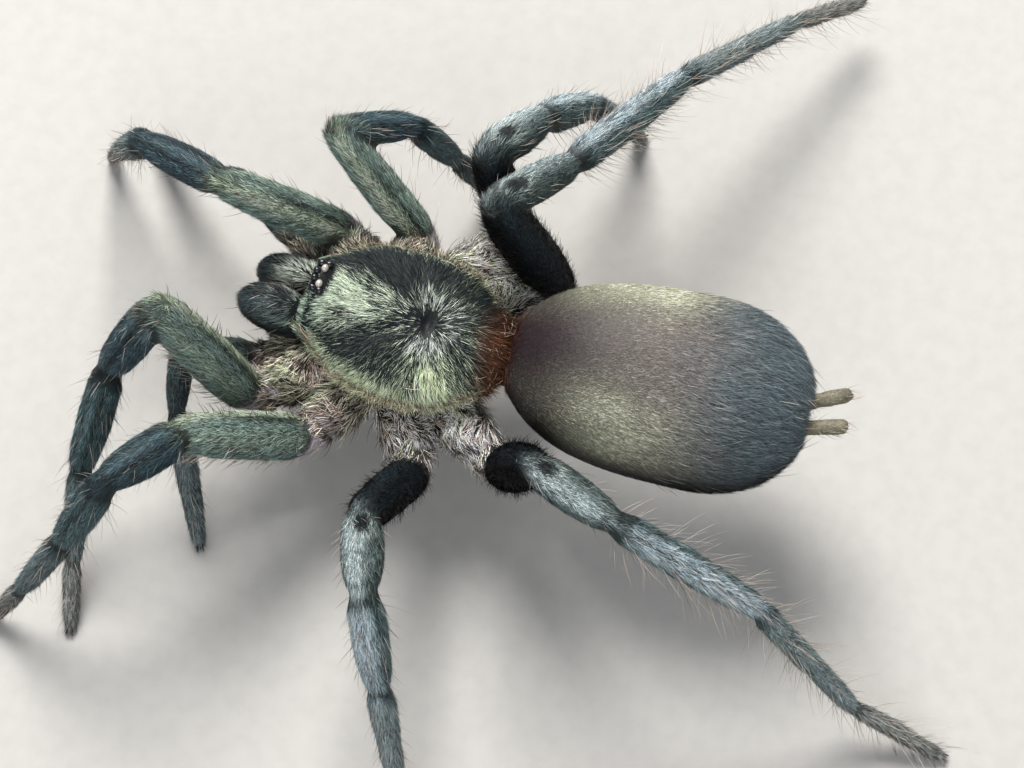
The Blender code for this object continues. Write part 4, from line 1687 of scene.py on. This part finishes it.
                    uvs.append(base + [(c - 1) * UV_PATCH / 3, share * UV_PATCH])
                    # Painted shade along each bristle: darker at the root, lighter at the tip.
                    colours.append(tint * (0.6 + 0.6 * share))
            parts.append((np.stack(points, 1), np.stack(uvs, 1), np.stack(colours, 1)))
        pattern, tip = [], 3 * HORN_STEPS
        for k, c in itertools.product(range(HORN_STEPS), range(3)):
            a, b = 3 * k + c, 3 * k + (c + 1) % 3
            pattern += [(a, b, b + 3), (a, b + 3, a + 3)] if k < HORN_STEPS - 1 else [(a, b, tip)]
        points, uvs, colours = (np.concatenate(part).reshape(-1, part[0].shape[-1]) for part in zip(*parts))
        triangles = repeated(pattern, tip + 1, len(points) // (tip + 1))
        return strip_object(name, points, triangles, colours, uvs)


@dataclass
class BristleKind:
    """One kind of long hair: where it grows, how thick, how long and how upright."""

    forms: tuple[str, ...]
    density: float
    length: tuple[float, float]
    lift: tuple[float, float]
    colours: tuple[Colour, ...]
    radius: float = 0.02
    droop: float = 0.35
    scatter: float = 0.3
    turn_at: float | None = None
    turn_reach: float = 0.8
    from_share: float = 0.0

    def grows_on(self, name: str) -> bool:
        """Whether it grows on the form of this name."""
        return any(word in name for word in self.forms)

    def share(self, form: Form, p: Array) -> Array:
        """How thickly it grows at points of a form, from 0 to 1.

        Args:
            form: The form.
            p: Points.

        Returns:
            Shares of the full density.
        """
        if isinstance(form, LimbSegment):
            share = ramp(self.from_share - 0.05, self.from_share + 0.1, form.along(p))
            if self.turn_at is not None:
                apart = np.angle(np.exp(1j * (form.around(p) - self.turn_at)))
                share = share * bump(0, self.turn_reach, apart)
            return share
        if isinstance(form, Abdomen):
            return ramp(self.from_share, self.from_share + 0.3, form.local(p)[:, 1] / form.length + 0.5)
        if isinstance(form, Carapace):
            b = to_body(p)
            _, _, edge = form.polar(b)
            return ramp(0.84, 0.95, np.maximum(edge, ramp(3.0, 4.2, np.abs(b[:, 1])))) * (b[:, 1] > -3.4)
        return np.ones(len(p))


PALE = ((0.55, 0.48, 0.4), (0.5, 0.42, 0.36), (0.6, 0.56, 0.5), (0.42, 0.34, 0.27))
BROWN = ((0.1, 0.055, 0.035), (0.05, 0.03, 0.022), (0.16, 0.09, 0.06))
BLACK = ((0.01, 0.01, 0.01), (0.02, 0.018, 0.016))
ASH = ((0.25, 0.28, 0.28), (0.12, 0.14, 0.145), (0.34, 0.35, 0.33))
PINK_CREAM = ((0.75, 0.58, 0.47), (0.66, 0.44, 0.34), (0.82, 0.7, 0.56), (0.4, 0.24, 0.17))
FRONT_FEMORA = tuple(f"leg_{k}_{side}_femur" for k in (1, 2) for side in SIDES)
REAR_FEMORA = tuple(f"leg_{k}_{side}_femur" for k in (3, 4) for side in SIDES)
PALP_FEMORA = tuple(f"palp_{side}_femur" for side in SIDES)
HIND_SHINS = tuple(f"leg_4_{side}_{part}" for side in SIDES for part in LEG_SEGMENTS[2:])
LEG_BRISTLES = [
    BristleKind(FRONT_FEMORA + PALP_FEMORA, 3.0, (0.5, 1.0), (35, 70), BROWN, 0.018, turn_at=0.2,
                turn_reach=0.7),
    BristleKind(FRONT_FEMORA, 4.5, (0.4, 0.9), (40, 75), BLACK + BROWN, 0.017, turn_at=0.8, turn_reach=0.45),
    BristleKind(FRONT_FEMORA, 10.0, (0.6, 1.35), (28, 62), PALE, 0.017, turn_at=-2.3, turn_reach=1.0),
    BristleKind(REAR_FEMORA, 20.0, (0.35, 0.8), (30, 60), BLACK, 0.014),
    BristleKind(("patella",), 3.5, (0.45, 1.0), (30, 60), PALE + ASH + BROWN, 0.012),
    BristleKind(("tibia",), 4.0, (0.5, 1.4), (28, 62), PALE + ASH + BROWN, 0.012),
    BristleKind(("tibia", "metatarsus"), 2.0, (1.0, 2.0), (35, 65), PALE, 0.014, turn_at=math.pi,
                turn_reach=1.0),
    BristleKind(("metatarsus", "tarsus", "foot"), 4.0, (0.6, 1.3), (28, 55), PALE, 0.014),
    BristleKind(HIND_SHINS, 11.0, (0.9, 2.3), (32, 70), PALE, 0.014, turn_at=math.pi, turn_reach=2.0),
]
BODY_BRISTLES = [
    BristleKind(("coxa",), 5.0, (0.7, 1.5), (25, 65), PALE + BROWN, 0.02, droop=0.9, scatter=0.7),
    BristleKind(("underside",), 2.5, (0.7, 1.3), (25, 60), PALE + BROWN, 0.02, droop=0.8, scatter=0.7),
    BristleKind(("carapace",), 36.0, (0.7, 1.4), (12, 48), PINK_CREAM, 0.017, droop=1.1, scatter=0.7),
    BristleKind(("abdomen",), 2.2, (0.6, 1.2), (14, 34), ASH, 0.016, from_share=0.45),
    BristleKind(("abdomen",), 0.7, (0.35, 0.6), (10, 20), PALE, 0.024, from_share=0.3),
    BristleKind(("abdomen",), 5.0, (0.9, 1.9), (8, 42), PALE, 0.02, from_share=0.84, scatter=0.25),
    BristleKind(("chelicera",), 1.1, (0.6, 1.2), (20, 50), PALE + BROWN, 0.014, scatter=0.5),
    BristleKind(("spinneret",), 8.0, (0.4, 0.8), (20, 45), PALE, 0.014),
]


# Fangs and claws


@dataclass
class Horns:
    """Fangs and toe claws: smooth dark horn that tapers and curves."""

    fang_length: float = 2.6
    fang_radii: tuple[float, float] = (0.42, 0.05)
    claw_length: float = 0.42
    claw_radii: tuple[float, float] = (0.06, 0.012)

    @staticmethod
    def horn(root: Array, ahead: Array, bend_axis: Array, bend: float, length: float,
             radii: tuple[float, float], sides: int = 20, steps: int = 18) -> tuple[Array, list]:
        """One curved horn.

        Args:
            root: Where it starts.
            ahead: Its first direction.
            bend_axis: The line that it bends about.
            bend: How far it bends, in radians.
            length: Its length.
            radii: Its radius at the root and at the tip.
            sides: Points a ring.
            steps: Rings along it.

        Returns:
            Points and faces.
        """
        spots, way = [np.array(root, float)], np.array(ahead, float)
        turn = np.array(Matrix.Rotation(bend / steps, 3, Vector(bend_axis)))
        for _ in range(steps):
            spots.append(spots[-1] + way * length / steps)
            way = turn @ way
        share = np.linspace(0, 1, steps + 1)
        radius = radii[1] + (radii[0] - radii[1]) * (1 - share) ** 0.8
        return rings_mesh(tube(np.array(spots), radius, sides))

    def fang(self, jaw: Chelicera, side: str) -> bpy.types.Object:
        """The fang folded back under a jaw.

        Args:
            jaw: The jaw above it.
            side: The jaw's side.

        Returns:
            The piece.
        """
        nod = jaw.turn()
        root = np.array(jaw.centre) + nod @ np.array([0, -0.3 * jaw.size[1], -0.4 * jaw.size[2]])
        down = unit(np.array([0, -0.25, -1.0]))
        points, faces = self.horn(root - down * 0.25, down, (1, 0, 0), math.radians(84), self.fang_length,
                                  self.fang_radii)
        return make_object(f"fang_{side}", to_world(points), faces)

    def claws(self, limbs: tuple[LimbPose, ...]) -> bpy.types.Object:
        """A pair of claws at each toe.

        Args:
            limbs: All the legs and palps.

        Returns:
            The piece.
        """
        made = []
        for limb in limbs:
            line = limb.joints()
            ahead = unit(line[-1] - line[-2])
            flat = unit(np.array([ahead[0], ahead[1], 0.0]))
            side = np.cross(UP, flat)
            for sign in (-1, 1):
                root = line[-1] + flat * 0.1 + side * sign * 0.09 + UP * 0.02
                way = unit(flat + 0.15 * sign * side + 0.25 * UP)
                points, faces = self.horn(root, way, tuple(side), math.radians(62), self.claw_length,
                                          self.claw_radii, 10, 8)
                points[:, 2] = np.maximum(points[:, 2], FLOOR_CLEARANCE)
                made.append((points, faces))
        return make_object("claws", *merged(made))


# Finishes


class Texture(Enum):
    """Which fine relief a finish has."""

    NONE = 0
    PORES = 1
    GRAIN = 2


def fill_sockets(tree: bpy.types.NodeTree, node: bpy.types.Node, sockets: dict[str, object]) -> None:
    """Joins or sets a node's inputs, as each is given an output or a value.

    Args:
        tree: Where the node is.
        node: The node.
        sockets: The output or value of each input.
    """
    for name, value in sockets.items():
        if isinstance(value, bpy.types.NodeSocket):
            tree.links.new(value, node.inputs[name])
        else:
            node.inputs[name].default_value = value


def add_node(tree: bpy.types.NodeTree, kind: str, sockets: dict[str, object],
             **settings: str) -> bpy.types.Node:
    """A new shader node.

    Args:
        tree: Where it goes.
        kind: What it is, without the word before every kind.
        sockets: The output or value of each input.
        **settings: Its own settings, made first.

    Returns:
        The node.
    """
    made = tree.nodes.new(f"ShaderNode{kind}")
    for name, value in settings.items():
        setattr(made, name, value)
    fill_sockets(tree, made, sockets)
    return made


@dataclass(frozen=True)
class Finish:
    """A surface finish whose colour is its own or the painted markings."""

    name: str
    roughness: float
    colour: Colour | None = None
    second: Colour = (0.0, 0.0, 0.0)
    texture: Texture = Texture.NONE
    cell: float = 0.12
    relief: float = 0.0
    variation: float = 0.3
    specular: float = 0.5
    coat: float = 0.0

    def material(self) -> bpy.types.Material:
        """The finish as a material, made once.

        Returns:
            The material.
        """
        found = bpy.data.materials.get(self.name)
        if found:
            return found
        made = bpy.data.materials.new(self.name)
        made.use_nodes = True
        tree = made.node_tree
        place = add_node(tree, "TexCoord", {}).outputs["Object"]
        cells = {"Scale": 1 / (self.cell * MM), "Vector": place}
        grain = add_node(tree, "TexNoise", {**cells, "Detail": 4}).outputs["Fac"]
        if self.colour is None:
            high = add_node(tree, "VertexColor", {}, layer_name="markings").outputs["Color"]
            dim = {"Factor": 1, "A": high, "B": (*[1 - self.variation] * 3, 1)}
            low = add_node(tree, "Mix", dim, data_type="RGBA", blend_type="MULTIPLY").outputs["Result"]
        else:
            low, high = (*self.colour, 1), (*self.second, 1)
        spread = add_node(tree, "MapRange", {"From Min": 0.35, "From Max": 0.65, "Value": grain})
        shares = {"A": low, "B": high, "Factor": spread.outputs["Result"]}
        blend = add_node(tree, "Mix", shares, data_type="RGBA")
        settings = {"Base Color": blend.outputs["Result"], "Roughness": self.roughness,
                    "Specular IOR Level": self.specular, "Coat Weight": self.coat, "Coat Roughness": 0.05}
        if self.texture is not Texture.NONE:
            height = grain
            if self.texture is Texture.PORES:
                height = add_node(tree, "TexVoronoi", cells).outputs["Distance"]
            bumps = {"Strength": self.relief, "Distance": RELIEF_DEPTH * MM, "Height": height}
            settings["Normal"] = add_node(tree, "Bump", bumps).outputs["Normal"]
        fill_sockets(tree, tree.nodes["Principled BSDF"], settings)
        return made

    def dress(self, obj: bpy.types.Object) -> bpy.types.Object:
        """Puts the finish on a piece.

        Args:
            obj: The piece.

        Returns:
            The same piece.
        """
        obj.data.materials.clear()
        obj.data.materials.append(self.material())
        return obj


SKIN_FINISH = Finish("skin", 0.55, texture=Texture.PORES, cell=0.1, relief=0.4, variation=0.4, specular=0.2)
HAIR_FINISH = Finish("hair", 0.55, cell=0.2, variation=0.25, specular=0.16)
VELVET_FINISH = Finish("velvet", 0.65, cell=0.2, variation=0.25, specular=0.15)
BRISTLE_FINISH = Finish("bristle", 0.4, cell=0.15, variation=0.2, specular=0.5)
LENS_FINISH = Finish("eye_lens", 0.04, (0.004, 0.004, 0.005), (0.012, 0.009, 0.007), cell=0.3, specular=0.6,
                     coat=1.0)
PEARL_FINISH = Finish("pearl_lens", 0.06, (0.4, 0.36, 0.3), (0.27, 0.24, 0.2), cell=0.3, specular=0.6,
                      coat=1.0)
PAPER_FINISH = Finish("floor_paper", 0.85, (0.4, 0.39, 0.37), (0.38, 0.37, 0.352), Texture.GRAIN, 0.8, 0.05,
                      specular=0.2)
HORN_FINISH = Finish("dark_horn", 0.16, (0.006, 0.004, 0.003), (0.03, 0.009, 0.004), Texture.GRAIN, 0.3, 0.1)


# Studio


@dataclass
class Studio:
    """Pale floor, soft lights and the camera at the photograph's angle."""

    azimuth: float = math.radians(110)
    elevation: float = math.radians(65)
    distance: float = 160.0
    aim: tuple[float, float, float] = (2.75, 0.91, 7.0)
    focal_pixels: float = 3728.0
    shift_pixels: tuple[float, float] = (-22.8, -9.3)
    frame_width: float = 1024.0
    sensor: float = 36.0
    floor_half: float = 400.0

    def floor(self) -> None:
        """A wide pale floor."""
        corners = np.array([[-1, -1, 0], [1, -1, 0], [1, 1, 0], [-1, 1, 0]]) * self.floor_half
        PAPER_FINISH.dress(make_object("floor", corners, [(0, 1, 2, 3)]))

    @staticmethod
    def placed(name: str, data: bpy.types.ID, place: Vector, way: Vector) -> bpy.types.Object:
        """A light or camera at a place in millimetres, turned that way.

        Args:
            name: Its name.
            data: The light or camera.
            place: Where it is.
            way: Where it looks.

        Returns:
            The object.
        """
        obj = linked(name, data)
        obj.location = place * MM
        obj.rotation_euler = way.to_track_quat("-Z", "Y").to_euler()
        return obj

    def light(self, name: str, place: tuple[float, float, float], size: float, power: float,
              tint: Colour) -> None:
        """One soft square light aimed at the spider.

        Args:
            name: Its name.
            place: Where it is, in millimetres.
            size: Its width.
            power: Its power in watts.
            tint: Its colour.
        """
        data = bpy.data.lights.new(name, "AREA")
        data.size = size * MM
        data.energy = power
        data.color = tint
        self.placed(name, data, Vector(place), Vector((0, 0, 5)) - Vector(place))

    def camera(self) -> None:
        """The camera that gives the photograph's view."""
        data = bpy.data.cameras.new("camera")
        data.sensor_width = self.sensor
        data.lens = self.focal_pixels * self.sensor / self.frame_width
        data.shift_x = self.shift_pixels[0] / self.frame_width
        data.shift_y = self.shift_pixels[1] / self.frame_width
        data.clip_start = 5 * MM
        data.clip_end = 3000 * MM
        a, e = self.azimuth, self.elevation
        out = Vector((math.sin(a) * math.cos(e), -math.cos(a) * math.cos(e), math.sin(e)))
        bpy.context.scene.camera = self.placed("camera", data, Vector(self.aim) + out * self.distance, -out)

    def build(self) -> None:
        """Sets up the whole studio."""
        self.floor()
        self.light("key", (-150, -90, 260), 150, 2.0, (1.0, 0.98, 0.95))
        self.light("fill", (260, 60, 200), 220, 0.6, (0.95, 0.98, 1.0))
        world = bpy.data.worlds.new("studio")
        world.use_nodes = True
        sky = world.node_tree.nodes["Background"].inputs
        sky["Color"].default_value = (0.9, 0.93, 1.0, 1)
        sky["Strength"].default_value = 0.4
        bpy.context.scene.world = world
        bpy.context.scene.view_settings.view_transform = "Standard"
        self.camera()


# Assembly

BODY_NODES = ("carapace", "cephalothorax_underside", "chelicera_left", "chelicera_right", "pedicel",
              "abdomen", "spinneret_left", "spinneret_right")


@dataclass
class Spider:
    """The whole dressed spider."""

    poses: tuple[LimbPose, ...] = POSES
    flesh: Flesh = field(init=False)

    def __post_init__(self) -> None:
        """Lists all the forms of flesh."""
        limbs = [segment for pose in self.poses for segment in pose.segments()]
        self.flesh = Flesh(body_forms() + limbs)

    def mount(self, obj: bpy.types.Object) -> bpy.types.Object:
        """Lets a piece ride on the spider, and logs its faces.

        Args:
            obj: The piece.

        Returns:
            The same piece.
        """
        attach(obj, "root")
        LOG.info("%s: %d faces", obj.name, len(obj.data.polygons))
        return obj

    def build(self) -> None:
        """Makes every piece in order."""
        skin, surface = Skin(self.flesh).build()
        self.mount(SKIN_FINISH.dress(skin))
        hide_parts(*BODY_NODES, *(node for pose in self.poses for node in pose.nodes()))
        grower = CoatGrower(self.flesh, surface)
        for piece in dict.fromkeys(form.piece for form in self.flesh.forms):
            finish = VELVET_FINISH if piece == "coat_abdomen" else HAIR_FINISH
            for obj in grower.tufts(piece):
                self.mount(finish.dress(obj))
        self.mount(BRISTLE_FINISH.dress(grower.bristles("leg_bristles", LEG_BRISTLES)))
        self.mount(BRISTLE_FINISH.dress(grower.bristles("body_bristles", BODY_BRISTLES)))
        group = EyeGroup()
        eyes = self.mount(LENS_FINISH.dress(group.build("eyes", group.dark_lenses)))
        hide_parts("eye_mound")
        self.mount(PEARL_FINISH.dress(group.build("middle_rear_eyes", group.pale_lenses)))
        horns = Horns()
        for side in SIDES:
            jaw = next(form for form in self.flesh.forms if form.name == f"chelicera_{side}")
            fang = self.mount(HORN_FINISH.dress(horns.fang(jaw, side)))
            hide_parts(f"fang_{side}")
        self.mount(HORN_FINISH.dress(horns.claws(self.poses)))


def main() -> None:
    """Builds the spider and its studio."""
    logging.basicConfig(level=logging.INFO, format="%(message)s")
    Spider().build()
    Studio().build()


if __name__ == "__main__":
    main()
